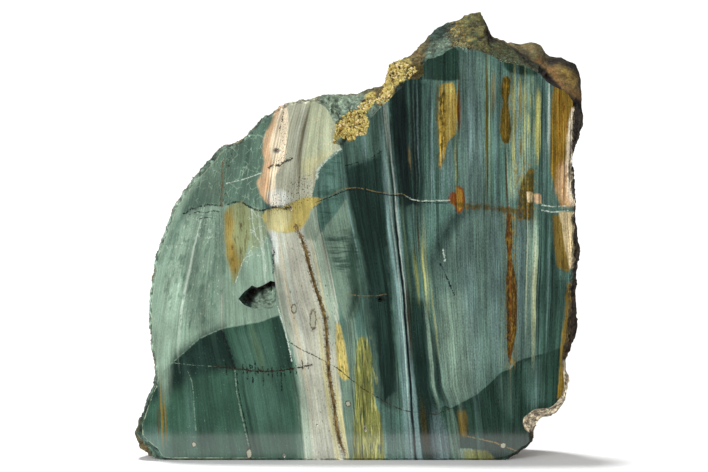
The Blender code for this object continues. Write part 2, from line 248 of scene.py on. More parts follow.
# Fields of colour on the face, from the lowest layer up
ZONES = [
    Zone("left_side", "sage", 1.0, 0.5, 1.0, [
        (100, 20), (292, 60), (284, 104), (276, 112), (268, 140), (264, 172), (262, 192),
        (262, 215), (270, 240), (275, 278), (281, 311), (289, 341), (297, 380), (303, 430),
        (306, 490), (100, 490)]),
    Zone("crown_shade", "shade_green", 1.6, 1.4, 0.95, [
        (120, 60), (285, 60), (283, 104), (276, 112), (268, 140), (264, 172), (262, 192),
        (262, 210), (250, 205), (228, 204), (205, 204), (186, 214), (176, 232), (162, 262),
        (140, 262)]),
    Zone("crown_slate", "grey_sage", 2.5, 1.5, 0.5, [
        (206, 165), (221, 160), (222, 200), (206, 198), (198, 185)]),
    Zone("left_edge", "pale_sage", 2.0, 1.0, 0.7, [
        (160, 260), (176, 222), (190, 196), (203, 176), (198, 168), (178, 196), (160, 235)]),
    Zone("left_shade", "grey_sage", 4.5, 2.0, 0.85, [
        (196, 226), (222, 210), (226, 250), (234, 285), (225, 300), (222, 325), (190, 335),
        (184, 300), (188, 255)]),
    Zone("wedge_side", "olive", 1.8, 1.0, 0.6, [
        (250, 207), (262, 210), (268, 232), (262, 245), (250, 252), (247, 235)]),
    Zone("over_pocket", "sage", 1.4, 0.6, 0.25, [
        (242, 268), (248, 256), (256, 250), (266, 250), (274, 262), (275, 280), (262, 284),
        (250, 284), (240, 290), (234, 288)]),
    Zone("under_pocket", "grey_sage", 1.2, 0.6, 0.7, [
        (228, 288), (238, 300), (250, 306), (258, 303), (262, 296), (275, 291), (279, 303),
        (280, 315), (262, 320), (240, 324), (225, 326), (223, 300)]),
    Zone("dark_patch", "bottle_green", 0.3, 0.25, 1.0, [
        (130, 432), (146, 406), (155, 386), (168, 366), (184, 352), (199, 338), (221, 328),
        (237, 325), (260, 321), (279, 314), (283, 325), (289, 345), (294, 361), (300, 380),
        (306, 400), (310, 490), (120, 490)]),
    Zone("patch_shade", "ink_teal", 3.5, 2.0, 0.95, [
        (140, 408), (160, 372), (180, 350), (199, 335), (223, 325), (234, 352), (238, 368),
        (215, 372), (190, 378), (165, 396)]),
    Zone("patch_shade_right", "ink_teal", 1.2, 0.6, 0.8, [
        (271, 318), (279, 315), (284, 329), (292, 361), (290, 368), (279, 368), (274, 345)]),
    Zone("patch_light", "mid_teal", 4.0, 2.5, 0.3, [
        (238, 332), (262, 326), (270, 335), (276, 368), (285, 400), (290, 430), (262, 440),
        (250, 420), (241, 380), (238, 352)]),
    Zone("patch_corner", "mid_teal", 3.0, 1.5, 0.7, [
        (130, 440), (150, 425), (168, 432), (178, 470), (130, 470)]),
    Zone("patch_soft_side", "sage", 3.6, 2.0, 0.55, [
        (296, 366), (312, 360), (322, 400), (322, 490), (303, 490), (300, 420)]),
    Zone("cream_band", "bone", 0.9, 0.7, 1.0, [
        (266, 222), (268, 232), (274, 240), (275, 278), (279, 300), (284, 322), (292, 345),
        (297, 362), (300, 385), (302, 410), (304, 435), (306, 490), (350, 490), (346, 465),
        (344, 440), (343, 415), (342, 395), (338, 370), (337, 345), (339, 322), (337, 300),
        (332, 275), (328, 250), (322, 233), (319, 215), (317, 205), (310, 210), (300, 226),
        (288, 232), (277, 231)]),
    Zone("band_lilac", "lilac_grey", 3.0, 1.5, 0.45, [
        (285, 240), (298, 240), (306, 280), (314, 310), (318, 350), (310, 380), (300, 340),
        (290, 290)]),
    Zone("band_sage", "sage", 2.2, 1.2, 0.7, [
        (312, 235), (322, 235), (330, 275), (336, 300), (338, 322), (334, 345), (328, 330),
        (318, 290)]),
    Zone("band_grey", "grey_sage", 1.0, 0.5, 0.75, [
        (303, 228), (312, 208), (318, 207), (321, 232), (316, 240), (306, 238)]),
    Zone("grey_crown", "putty", 0.4, 0.3, 1.0, [
        (286, 60), (345, 60), (345, 110), (341, 125), (337, 137), (341, 147), (330, 155),
        (318, 167), (316, 180), (313, 192), (311, 200), (300, 199), (283, 205), (277, 200),
        (275, 188), (276, 176), (281, 166), (284, 160), (286, 150), (287, 135), (288, 118)]),
    Zone("tongue", "olive_pale", 0.8, 0.5, 0.9, [
        (309, 100), (315, 90), (330, 100), (340, 112), (338, 128), (336, 138), (341, 147),
        (330, 155), (318, 167), (309, 172), (302, 168), (303, 155), (306, 140)]),
    Zone("tongue_foot", "butter", 3.0, 1.6, 0.6, [
        (302, 174), (303, 158), (318, 155), (326, 150), (330, 155), (318, 167), (312, 178)]),
    Zone("peach_streak", "peach_pale", 0.5, 0.6, 1.0, [
        (283, 95), (276, 112), (273, 125), (270, 133), (267, 137), (266, 150), (268, 160),
        (265, 172), (261, 182), (264, 192), (268, 202), (276, 207), (281, 204), (280, 196),
        (276, 190), (276, 176), (281, 166), (285, 160), (287, 150), (288, 135), (289, 118),
        (287, 100)]),
    Zone("peach_rim", "peach", 0.8, 0.7, 0.95, [
        (282, 95), (276, 110), (272, 122), (267, 130), (264, 138), (263, 150), (265, 160),
        (262, 172), (257, 182), (260, 192), (266, 202), (273, 205), (271, 197), (269, 190),
        (271, 180), (270, 172), (273, 163), (271, 156), (270, 148), (271, 138), (275, 126),
        (280, 110), (285, 98)]),
    Zone("white_knot", "white_grey", 1.4, 1.8, 0.6, [
        (267, 192), (276, 188), (284, 190), (292, 198), (287, 206), (270, 206)]),
    Zone("white_edge", "white_grey", 0.8, 1.6, 0.8, [
        (270, 228), (276, 226), (279, 240), (279, 256), (278, 264), (274, 262), (272, 244)]),
    Zone("teal_block", "mid_teal", 0.35, 0.2, 1.0, [
        (341, 148), (330, 156), (318, 168), (317, 180), (314, 190), (312, 201), (317, 207),
        (318, 220), (321, 233), (327, 223), (333, 217), (340, 208), (345, 200), (348, 190),
        (345, 168)]),
    Zone("teal_block_foot", "deep_teal", 2.5, 1.5, 0.35, [
        (320, 190), (335, 190), (344, 195), (340, 208), (333, 217), (327, 223), (322, 232),
        (319, 215)]),
    Zone("dark_band", "low_teal_grey", 0.7, 0.5, 1.0, [
        (333, 60), (341, 147), (344, 190), (352, 226), (358, 255), (362, 276), (364, 300),
        (362, 318), (367, 334), (371, 352), (372, 385), (378, 400), (386, 406), (398, 412),
        (404, 405), (400, 377), (397, 352), (395, 329), (392, 296), (389, 253), (386, 227),
        (384, 193), (381, 159), (386, 100), (384, 40)]),
    Zone("dark_band_core", "ink_teal", 1.4, 2.0, 0.95, [
        (346, 168), (356, 164), (366, 161), (374, 158), (383, 149), (386, 180), (388, 210),
        (386, 240), (391, 290), (394, 330), (397, 390), (384, 400), (376, 350), (370, 300),
        (365, 262), (357, 230), (350, 200)]),
    Zone("dark_strip", "ink_teal", 1.2, 2.0, 0.95, [
        (388, 98), (398, 82), (416, 79), (427, 84), (426, 110), (423, 150), (418, 204),
        (398, 206), (391, 160)]),
    Zone("right_dark", "ink_teal", 1.6, 1.4, 0.9, [
        (404, 292), (414, 296), (428, 302), (433, 330), (438, 360), (442, 398), (444, 440),
        (448, 490), (422, 490), (416, 430), (411, 380), (407, 340)]),
    Zone("lens", "grey_sage", 0.5, 0.4, 0.85, [
        (346, 197), (340, 208), (333, 217), (327, 223), (321, 235), (327, 252), (332, 272),
        (338, 300), (342, 315), (349, 322), (356, 312), (361, 296), (360, 276), (357, 257),
        (352, 230), (348, 205)]),
    Zone("lens_side", "pine", 2.6, 1.8, 0.9, [
        (352, 226), (359, 260), (363, 290), (356, 312), (349, 322), (350, 290), (346, 255)]),
    Zone("under_lens", "grey_sage", 1.5, 1.0, 0.85, [
        (346, 318), (354, 318), (357, 345), (355, 400), (352, 440), (352, 490), (344, 490),
        (345, 440), (344, 400), (341, 380), (346, 345)]),
    Zone("ochre_streak", "yellow", 0.7, 0.6, 0.95, [
        (336, 322), (341, 325), (345, 345), (348, 365), (349, 378), (343, 380), (338, 372),
        (336, 350)]),
    Zone("lime_column", "lime", 0.8, 0.5, 0.95, [
        (358, 338), (364, 335), (369, 344), (372, 356), (373, 385), (374, 404), (380, 412),
        (384, 440), (384, 490), (352, 490), (353, 440), (355, 404), (355, 370), (356, 350)]),
    Zone("yellow_patch", "yellow", 0.6, 1.4, 1.0, [
        (262, 214), (268, 209), (283, 206), (296, 200), (306, 196), (316, 197), (322, 199),
        (318, 204), (312, 208), (308, 218), (303, 226), (296, 231), (288, 232), (277, 231),
        (267, 225)]),
    Zone("yellow_pale", "butter", 1.6, 1.2, 0.85, [
        (266, 210), (284, 208), (292, 212), (290, 224), (280, 232), (268, 229)]),
    Zone("wedge", "olive", 0.6, 0.5, 0.95, [
        (226, 208), (235, 202), (243, 200), (250, 208), (251, 235), (246, 255), (242, 266),
        (236, 280), (233, 286), (231, 270), (227, 255), (225, 235)]),
    Zone("wedge_gold", "honey", 2.2, 1.6, 0.85, [
        (226, 214), (232, 208), (234, 220), (232, 236), (236, 250), (240, 262), (236, 274),
        (232, 270), (228, 255), (226, 235)]),
    Zone("plain_right", "slate", 2.0, 1.2, 0.6, [
        (460, 56), (484, 56), (486, 150), (487, 205), (508, 210), (534, 215), (534, 300),
        (536, 355), (500, 368), (476, 394), (450, 407), (441, 386), (436, 334), (432, 290),
        (431, 255), (436, 236), (450, 214), (460, 190), (459, 130)]),
    Zone("right_fibres", "sage", 3.0, 2.0, 0.75, [
        (509, 92), (531, 80), (534, 150), (522, 196), (509, 196)]),
    Zone("plain_light", "grey_sage", 4.0, 2.0, 0.55, [
        (440, 296), (462, 290), (474, 330), (476, 392), (452, 404), (442, 384), (436, 334)]),
    Zone("right_teal", "deep_teal", 2.0, 1.6, 0.8, [
        (542, 212), (552, 212), (557, 270), (568, 288), (566, 330), (560, 356), (541, 354),
        (539, 280)]),
    Zone("arch_shade", "ink_teal", 4.0, 2.4, 0.85, [
        (432, 262), (433, 244), (440, 230), (450, 214), (462, 206), (476, 208), (464, 216),
        (456, 228), (448, 240), (440, 258)]),
    Zone("crown_teal", "pine", 0.5, 0.4, 1.0, [
        (404, 66), (426, 50), (450, 40), (458, 52), (459, 80), (447, 81), (424, 79), (410, 84),
        (400, 84)]),
    Zone("crest_green", "pine", 0.9, 0.5, 1.0, [
        (502, 60), (512, 62), (522, 66), (536, 70), (536, 75), (520, 75), (508, 72), (503, 67)]),
    Zone("ochre_patch", "honey", 0.5, 0.7, 1.0, [
        (440, 84), (453, 82), (456, 96), (457, 112), (455, 134), (450, 138), (447, 143),
        (443.7, 158), (440.2, 170), (438, 165), (438.8, 146), (437.6, 120), (438.5, 96)]),
    Zone("ochre_patch_gold", "yellow", 1.5, 1.0, 0.4, [
        (446, 86), (452, 84), (455, 100), (455, 130), (448, 138), (446, 120)]),
    Zone("brown_drop", "olive_brown", 0.4, 0.3, 1.0, [
        (502, 77), (506, 75), (509.5, 80), (509, 92), (506.5, 102), (509, 114), (510.5, 130),
        (508, 143), (502, 143), (499, 132), (500, 114), (502.5, 102), (500, 92)]),
    Zone("drop_rust", "ochre", 1.0, 0.5, 0.5, [
        (503, 84), (507, 84), (506, 100), (508, 120), (507, 138), (502, 138), (502, 116)]),
    Zone("brown_streak", "umber", 0.35, 0.5, 1.0, [
        (506, 213), (511, 213), (512, 236), (511, 256), (516, 280), (517, 305), (516, 332),
        (512, 352), (510, 368), (507, 352), (506, 310), (505.5, 280), (507, 256), (505, 236)]),
    Zone("brown_block", "olive_brown", 0.5, 0.4, 0.95, [
        (530, 165), (533, 170), (533, 192), (533, 219), (516, 219), (517, 205), (520, 182)]),
    Zone("block_light", "cream", 0.4, 0.2, 0.95, [
        (525, 191), (532, 191), (532, 202), (527, 202)]),
    Zone("block_peach", "peach", 0.5, 0.3, 0.9, [
        (533, 193), (540, 193), (541, 203), (534, 203)]),
    Zone("rust_blob", "rust", 0.6, 0.5, 1.0, [
        (456, 184), (463, 188), (465, 200), (462, 210), (458, 214), (455, 206), (447, 200),
        (450, 191), (456, 192)]),
    Zone("rust_blob_gold", "gold", 0.5, 0.4, 0.8, [
        (456, 186), (462, 190), (462, 206), (458, 212), (456, 203)]),
    Zone("crack_smear", "olive_brown", 1.0, 3.0, 0.85, [
        (449, 200), (462, 202), (487, 204.5), (505, 206), (530, 212), (530, 219), (505, 212),
        (487, 209), (462, 208)]),
    Zone("right_gold", "ochre", 0.5, 0.4, 1.0, [
        (553, 84), (560, 86), (590, 100), (590, 150), (569, 205), (560, 206), (553, 185),
        (549.5, 170), (549.6, 120), (551, 96)]),
    Zone("right_gold_light", "gold", 1.0, 0.8, 0.7, [
        (556, 92), (563, 96), (566, 130), (564, 160), (560, 190), (554, 170), (556, 130)]),
    Zone("right_peach", "peach", 1.8, 1.4, 0.75, [
        (557, 168), (562, 160), (590, 160), (590, 206), (562, 206), (555, 190)]),
    Zone("right_cream", "peach_pale", 0.8, 0.9, 0.95, [
        (571, 108), (567, 122), (566, 140), (565, 160), (566, 176), (566, 196), (572, 206),
        (590, 206), (590, 100)]),
    Zone("right_low_ochre", "ochre", 0.7, 0.5, 0.9, [
        (552, 214), (560, 214), (564, 240), (570, 264), (568, 272), (556, 266), (553, 240)]),
    Zone("right_low_cream", "cream", 0.6, 0.5, 0.95, [
        (558, 211), (590, 211), (590, 268), (569, 268), (565, 250), (562, 230)]),
    Zone("low_teal", "pine", 0.35, 0.3, 1.0, [
        (435, 440), (436, 414), (443.7, 404), (450.5, 407.6), (457.4, 404), (476.4, 394),
        (493.6, 379), (500.5, 371.5), (510.8, 368), (516, 361), (523, 358), (535, 355),
        (548, 351), (560, 347), (590, 344), (590, 430), (530, 490), (452, 490),
        (446, 455)]),
    Zone("low_teal_light", "low_teal_grey", 2.5, 1.5, 0.5, [
        (494, 380), (504, 374), (512, 372), (516, 400), (512, 420), (500, 405)]),
    Zone("low_teal_side", "mid_teal", 2.5, 1.5, 0.6, [
        (524, 362), (540, 358), (545, 400), (530, 410), (524, 390)]),
    Zone("low_sage_stripe", "shade_green", 0.7, 0.4, 0.8, [
        (446, 408), (453, 408), (458, 425), (463, 490), (453, 490), (450, 440)]),
    Zone("low_gold", "ochre", 1.4, 1.0, 0.75, [
        (458, 411), (465, 410), (467, 424), (466, 436), (460, 435)]),
    Zone("low_pale", "grey_sage", 0.5, 0.4, 0.95, [
        (458, 448), (473, 448), (472, 490), (460, 490)]),
    Zone("right_rim", "ochre", 0.7, 1.6, 0.9, [
        (566, 282), (590, 280), (590, 400), (556, 398), (559, 380), (560, 352), (562, 330),
        (565, 305)]),
    Zone("low_lime", "lime", 0.8, 0.5, 0.8, [
        (464, 449), (487, 450), (495, 458), (495, 490), (466, 490)]),
]

# Streaks along the grain, from the lowest layer up
STREAKS = [
    Streak("pale_sage", (168, 320), 238, 388, 16, 6, 0.7),
    Streak("chalk", (186, 290), 236, 345, 2.4, 1.6, 0.5),
    Streak("chalk", (196, 240), 215, 300, 1.6, 1.2, 0.45),
    Streak("shade_green", (215, 270), 235, 330, 5, 4, 0.4),
    Streak("lilac_grey", (222, 300), 284, 328, 1.6, 1, 0.7),
    Streak("chalk", (263, 250), 215, 290, 2.2, 1.4, 0.5),
    Streak("shade_green", (240, 150), 120, 205, 14, 8, 0.35),
    Streak("deep_teal", (250, 140), 112, 180, 6, 4, 0.3),
    # dark patch at the lower left
    Streak("deep_teal", (205, 400), 360, 470, 14, 8, 0.5),
    Streak("deep_teal", (226, 400), 368, 470, 5, 3, 0.6),
    Streak("mid_teal", (190, 410), 372, 470, 5, 4, 0.5),
    Streak("ink_teal", (246, 400), 372, 470, 3, 2.5, 0.6),
    Streak("moss", (258, 350), 326, 372, 8, 4, 0.5),
    Streak("deep_teal", (282, 400), 372, 440, 10, 6, 0.4),
    # pale band
    Streak("butter", (329, 404), 330, 480, 5, 3.4, 0.9),
    Streak("butter", (341, 420), 378, 480, 7, 3, 0.95),
    Streak("chalk", (290, 280), 232, 340, 4, 3, 0.5),
    Streak("putty", (300, 290), 240, 400, 4, 3, 0.5),
    Streak("grey_sage", (283, 300), 262, 350, 5, 3, 0.5),
    Streak("sage", (306, 420), 366, 480, 8, 5, 0.6),
    Streak("cream", (297, 330), 240, 400, 2.5, 2, 0.4),
    Streak("cream", (322, 290), 240, 318, 3, 2, 0.45),
    # crown
    Streak("grey_brown", (303, 135), 104, 168, 4, 2.4, 0.75),
    Streak("grey_brown", (300, 170), 150, 195, 2.4, 1.6, 0.6),
    Streak("grey_brown", (289.5, 130), 102, 165, 1.6, 1.2, 0.5),
    Streak("chalk", (299, 130), 104, 160, 2, 1.6, 0.35),
    # dark band and the double stripe
    Streak("mid_teal", (358, 140), 110, 152, 7, 4, 0.7),
    Streak("frost", (364, 146), 132, 160, 3, 2, 0.6),
    Streak("ink_teal", (346, 150), 145, 200, 3, 2, 0.7),
    Streak("frost", (350, 215), 188, 260, 1.4, 1, 0.8),
    Streak("frost", (390, 220), 146, 580, 8, 2.4, 0.7),
    Streak("chalk", (386, 120), 98, 152, 2.6, 1.6, 0.7),
    Streak("frost", (397.8, 220), 140, 580, 4.6, 1.6, 0.85),
    Streak("chalk", (397, 220), 130, 330, 1.2, 1, 0.6),
    Streak("chalk", (391.6, 220), 160, 420, 1, 0.9, 0.45),
    Streak("ink", (395, 220), 110, 600, 2.4, 1.2, 1.0),
    Streak("slate", (391.5, 193), 150, 240, 1.2, 0.8, 0.6),
    Streak("umber", (410, 330), 280, 354, 3.4, 1.8, 0.95),
    # between the double stripe and the plain field
    Streak("ink_teal", (398, 120), 78, 205, 11, 4, 0.9),
    Streak("ink", (404, 140), 80, 200, 5, 3, 0.8),
    Streak("ink_teal", (415, 110), 76, 170, 9, 4, 0.75),
    Streak("mid_teal", (409.5, 120), 84, 200, 2, 1.4, 0.7),
    Streak("tan", (409.5, 158), 148, 168, 1.6, 1.4, 0.7),
    Streak("ink", (398, 130), 90, 200, 4, 2, 0.8),
    Streak("ink", (411, 130), 84, 210, 3, 2, 0.7),
    Streak("ink_teal", (419, 150), 84, 230, 4, 3, 0.7),
    Streak("slate", (414.5, 140), 90, 190, 1.4, 1, 0.5),
    Streak("mid_teal", (425, 130), 82, 200, 8, 4, 0.7),
    Streak("slate_blue", (431, 150), 90, 200, 4, 2.6, 0.6),
    Streak("ink_teal", (407, 250), 200, 440, 10, 4, 0.85),
    Streak("moss", (405, 240), 205, 300, 3, 2, 0.6),
    Streak("umber", (417.5, 225), 204, 262, 1.4, 0.9, 0.8),
    Streak("lime", (416, 270), 248, 300, 3.4, 2, 0.8),
    Streak("lime", (425, 268), 232, 304, 5, 3, 0.8),
    Streak("straw", (423, 262), 244, 290, 3, 2, 0.7),
    Streak("sage", (424, 250), 206, 300, 3, 2, 0.6),
    Streak("ink_teal", (421, 350), 296, 440, 9, 4, 0.85),
    Streak("sage", (431, 360), 300, 396, 3.4, 2, 0.7),
    Streak("ink_teal", (438.5, 385), 350, 408, 5, 2.6, 0.8),
    Streak("straw", (436, 330), 285, 350, 1.6, 1.2, 0.5),
    Streak("slate_blue", (440, 440), 412, 480, 12, 5, 0.6),
    Streak("mid_teal", (398, 440), 404, 480, 12, 4, 0.7),
    Streak("olive_brown", (424, 425), 405, 450, 4, 3, 0.6),
    Streak("ink_teal", (419, 130), 82, 210, 7, 2.6, 0.9),
    Streak("ink", (415, 120), 82, 190, 1.6, 1, 0.8),
    Streak("slate_blue", (417.5, 125), 90, 180, 1.2, 0.9, 0.55),
    Streak("mid_teal", (422.5, 130), 86, 200, 1.8, 1.2, 0.6),
    Streak("ink_teal", (428.5, 130), 86, 196, 2.6, 1.8, 0.7),
    Streak("olive_brown", (436.5, 105), 84, 130, 3, 2, 0.6),
    Streak("frost", (442, 175), 150, 200, 3, 2, 0.6),
    Streak("frost", (449, 155), 140, 192, 5, 2.6, 0.6),
    Streak("ink_teal", (437, 190), 150, 236, 3, 2, 0.6),
    # right-hand fields
    Streak("umber", (458, 105), 80, 135, 2.4, 1, 1.0),
    Streak("rust", (459.5, 112), 98, 126, 1.4, 0.8, 0.9),
    Streak("frost", (461, 120), 90, 170, 2, 1.6, 0.5),
    Streak("umber", (457, 165), 134, 188, 1.4, 0.9, 0.85),
    Streak("straw", (455, 160), 140, 188, 1.6, 1.2, 0.6),
    Streak("slate_blue", (470, 110), 62, 190, 8, 6, 0.5),
    Streak("slate_blue", (479, 140), 90, 200, 4, 3, 0.5),
    Streak("olive_brown", (486, 110), 50, 202, 2.4, 1.1, 0.95),
    Streak("straw", (488.6, 120), 66, 180, 1.4, 1.1, 0.5),
    Streak("ochre", (492.6, 91), 72, 112, 2.6, 1.2, 0.9),
    Streak("slate_blue", (495, 130), 80, 200, 3, 2.4, 0.5),
    Streak("umber", (505.3, 170), 140, 215, 1.8, 1, 0.9),
    Streak("rust", (510, 300), 215, 366, 2.2, 1.6, 0.5),
    Streak("straw", (513, 130), 78, 176, 2.4, 1.4, 0.75),
    Streak("slate_blue", (516, 130), 76, 200, 3, 1.8, 0.7),
    Streak("ochre", (519.2, 100), 82, 118, 1.8, 1, 0.9),
    Streak("ochre", (520.3, 147), 138, 156, 2.2, 1.6, 0.7),
    Streak("straw", (524, 120), 76, 176, 1.6, 1.1, 0.6),
    Streak("deep_teal", (527, 120), 76, 180, 1.4, 1, 0.5),
    Streak("moss", (530, 110), 72, 166, 3, 2, 0.6),
    Streak("straw", (537, 115), 90, 160, 5, 1.4, 0.95),
    Streak("ink", (541, 130), 74, 204, 2.2, 1.2, 0.8),
    Streak("slate_blue", (544, 130), 74, 204, 2.4, 1.6, 0.7),
    Streak("chalk", (548, 115), 84, 150, 3, 2, 0.7),
    Streak("mid_teal", (546, 180), 150, 204, 4, 3, 0.6),
    Streak("sage", (530.5, 250), 220, 300, 4, 2.4, 0.8),
    Streak("sage", (533.5, 300), 226, 356, 6, 2.2, 0.8),
    Streak("straw", (534, 300), 255, 352, 3, 2, 0.5),
    Streak("ink_teal", (540, 260), 208, 372, 1.8, 1.2, 0.8),
    Streak("deep_teal", (545, 300), 212, 400, 5, 3, 0.6),
    Streak("ink_teal", (521, 280), 214, 352, 4, 2, 0.6),
    Streak("olive_pale", (526, 265), 220, 330, 1.4, 1, 0.6),
    Streak("olive_pale", (533, 275), 222, 345, 2.4, 1.4, 0.75),
    Streak("ink", (537.4, 270), 212, 350, 1.4, 1, 0.8),
    Streak("frost", (548, 260), 214, 330, 2, 1.4, 0.5),
    Streak("ink", (551, 300), 216, 392, 2, 1.2, 0.6),
    Streak("frost", (536, 390), 360, 412, 3, 2, 0.4),
    Streak("ink_teal", (516, 400), 362, 450, 5, 3, 0.5),
    Streak("mid_teal", (478, 425), 398, 452, 8, 5, 0.35),
    Streak("slate_blue", (520, 260), 216, 340, 6, 4, 0.5),
    Streak("slate_blue", (495, 260), 212, 360, 12, 6, 0.35),
    Streak("slate_blue", (470, 320), 240, 390, 16, 10, 0.3),
    Streak("sage", (452, 350), 300, 404, 8, 6, 0.4),
    Streak("moss", (500, 330), 290, 365, 1.6, 1.2, 0.5),
    Streak("deep_teal", (552, 330), 268, 400, 8, 4, 0.5),
    # lower left corner
    Streak("ochre", (162, 405), 384, 440, 1.6, 1.1, 0.9),
    Streak("ochre", (166, 420), 398, 438, 1.4, 1, 0.8),
    Streak("umber", (158.5, 425), 405, 438, 1.2, 0.9, 0.8),
]

# Outlines that two mottles share: the lime column, and the ledge beside the peak
LIME_FIELD = [(354, 336), (372, 336), (380, 400), (386, 460), (352, 460)]
LEDGE_FIELD = [(488, 40), (504, 42), (540, 66), (540, 74), (518, 70), (490, 60)]

# Fields in which a colour shows only where noise of these sizes is high enough
MOTTLES = [
    Mottle("left_scratches", "chalk", (0.8, 2.4, 3), 0.6, 0.68, 0.6, [
        (165, 235), (190, 205), (222, 205), (226, 240), (222, 290), (205, 330), (180, 330),
        (162, 290)]),
    Mottle("left_stains", "shade_green", (3.0, 8.0, 8), 0.5, 0.65, 0.7, [
        (165, 240), (190, 210), (222, 208), (230, 260), (226, 300), (205, 330), (180, 330),
        (162, 290)]),
    Mottle("crown_rust", "umber", (1.4, 2.0, 3), 0.54, 0.63, 0.75, [
        (212, 152), (234, 128), (246, 134), (234, 166), (227, 206), (216, 206)]),
    Mottle("crown_chalk", "sage", (1.2, 1.6, 3), 0.58, 0.7, 0.5, [
        (185, 205), (205, 170), (240, 135), (268, 112), (268, 140), (262, 200), (230, 200)]),
    Mottle("wedge_stains", "umber", (1.6, 6.0, 6), 0.52, 0.66, 0.7, [
        (226, 212), (240, 204), (250, 212), (250, 235), (244, 260), (236, 280), (228, 256)]),
    Mottle("ochre_stains", "olive_brown", (2.0, 4.6, 6), 0.46, 0.56, 0.9, [
        (437, 84), (446, 84), (446, 150), (442, 172), (437, 165), (436, 100)]),
    Mottle("gold_stains", "umber", (1.6, 14.0, 6), 0.54, 0.66, 0.7, [
        (550, 84), (566, 96), (566, 180), (566, 270), (554, 270), (550, 180)]),
    Mottle("lime_pale", "straw", (1.4, 12.0, 6), 0.5, 0.62, 0.8, LIME_FIELD),
    Mottle("lime_stains", "deep_teal", (0.9, 9.0, 6), 0.52, 0.64, 0.8, LIME_FIELD),
    Mottle("lens_ripples", "deep_teal", (16.0, 2.0, 6), 0.44, 0.6, 0.8, [
        (324, 236), (346, 228), (360, 236), (362, 262), (356, 278), (338, 274), (330, 256)]),
    Mottle("block_ripples", "deep_teal", (9.0, 2.6, 6), 0.46, 0.62, 0.65, [
        (318, 170), (341, 150), (345, 190), (340, 208), (321, 230), (317, 200)]),
    Mottle("streak_dirt", "olive_brown", (0.9, 4.0, 3), 0.52, 0.62, 0.8, [
        (334, 320), (342, 320), (350, 380), (340, 382)]),
    Mottle("band_knots", "umber", (1.0, 2.6, 3), 0.62, 0.68, 0.6, [
        (276, 235), (320, 235), (338, 320), (342, 460), (308, 460), (290, 345)]),
    Mottle("peach_pits", "umber", (0.7, 0.9, 3), 0.54, 0.62, 0.85, [
        (279, 118), (288, 118), (288, 146), (292, 158), (284, 168), (270, 170), (268, 160),
        (280, 156), (281, 140)]),
    Mottle("knot_dirt", "umber", (0.6, 0.7, 3), 0.52, 0.6, 0.8, [
        (268, 202), (292, 203), (294, 211), (270, 214)]),
    Mottle("smear_rust", "rust", (2.0, 1.6, 3), 0.58, 0.66, 0.55, [
        (449, 196), (480, 200), (533, 200), (533, 222), (500, 218), (460, 214)]),
    Mottle("right_rust", "rust", (1.6, 5.0, 3), 0.54, 0.64, 0.6, [
        (552, 90), (568, 100), (572, 205), (556, 205), (551, 150)]),
    Mottle("ochre_pale", "straw", (0.9, 7.0, 3), 0.54, 0.64, 0.7, [
        (438, 82), (456, 82), (456, 134), (444, 150), (440, 168)]),
    Mottle("gold_pale", "honey", (0.9, 12.0, 3), 0.55, 0.66, 0.7, [
        (550, 86), (566, 98), (566, 200), (554, 200)]),
    Mottle("fibres", "straw", (0.8, 16.0, 3), 0.52, 0.64, 0.7, [
        (510, 76), (532, 76), (532, 170), (508, 200), (508, 120)]),
    Mottle("dark_fibres", "ink_teal", (0.9, 20.0, 3), 0.56, 0.66, 0.35, [
        (508, 76), (552, 82), (552, 205), (508, 205)]),
    Mottle("plain_scratches", "ink_teal", (0.6, 12.0, 3), 0.58, 0.68, 0.35, [
        (436, 210), (535, 215), (535, 352), (500, 368), (450, 405), (434, 330)]),
    Mottle("plain_flecks", "frost", (0.7, 3.0, 3), 0.66, 0.72, 0.8, [
        (440, 210), (535, 215), (535, 352), (500, 368), (450, 405), (436, 330)]),
    Mottle("patch_flecks", "sage", (0.45, 1.6, 3), 0.66, 0.72, 0.6, [
        (150, 400), (200, 338), (280, 316), (300, 400), (304, 460), (150, 460)]),
    Mottle("drop_mottle", "gold", (1.0, 3.0, 3), 0.52, 0.62, 0.5, [
        (499, 74), (512, 74), (512, 146), (498, 146)]),
    Mottle("block_mottle", "ochre", (1.0, 2.6, 3), 0.5, 0.6, 0.6, [
        (512, 160), (536, 160), (536, 222), (512, 222)]),
    Mottle("streak_mottle", "ochre", (0.9, 4.0, 3), 0.48, 0.6, 0.7, [
        (504, 213), (517, 213), (517, 368), (504, 368)]),
    Mottle("crown_dirt", "umber", (0.8, 0.9, 3), 0.55, 0.63, 0.85, [
        (268, 196), (300, 172), (316, 172), (316, 197), (300, 208), (270, 212)]),
]

# Fields where the growth lines are faint
QUIET = [
    [(100, 20), (285, 60), (262, 215), (281, 311), (279, 314), (237, 325), (184, 352),
     (155, 386), (120, 440), (100, 440)],
    [(140, 400), (180, 356), (230, 330), (280, 318), (300, 400), (306, 470), (140, 470)],
    [(434, 250), (450, 220), (470, 212), (500, 214), (530, 222), (534, 352), (512, 366),
     (478, 390), (450, 404), (441, 384), (434, 330)],
    [(344, 200), (330, 220), (321, 236), (336, 300), (346, 320), (358, 310), (360, 260)],
    [(286, 90), (345, 90), (341, 147), (312, 205), (325, 250), (346, 400), (350, 480), (306, 480),
     (296, 380), (276, 280), (266, 225), (276, 180)],
]

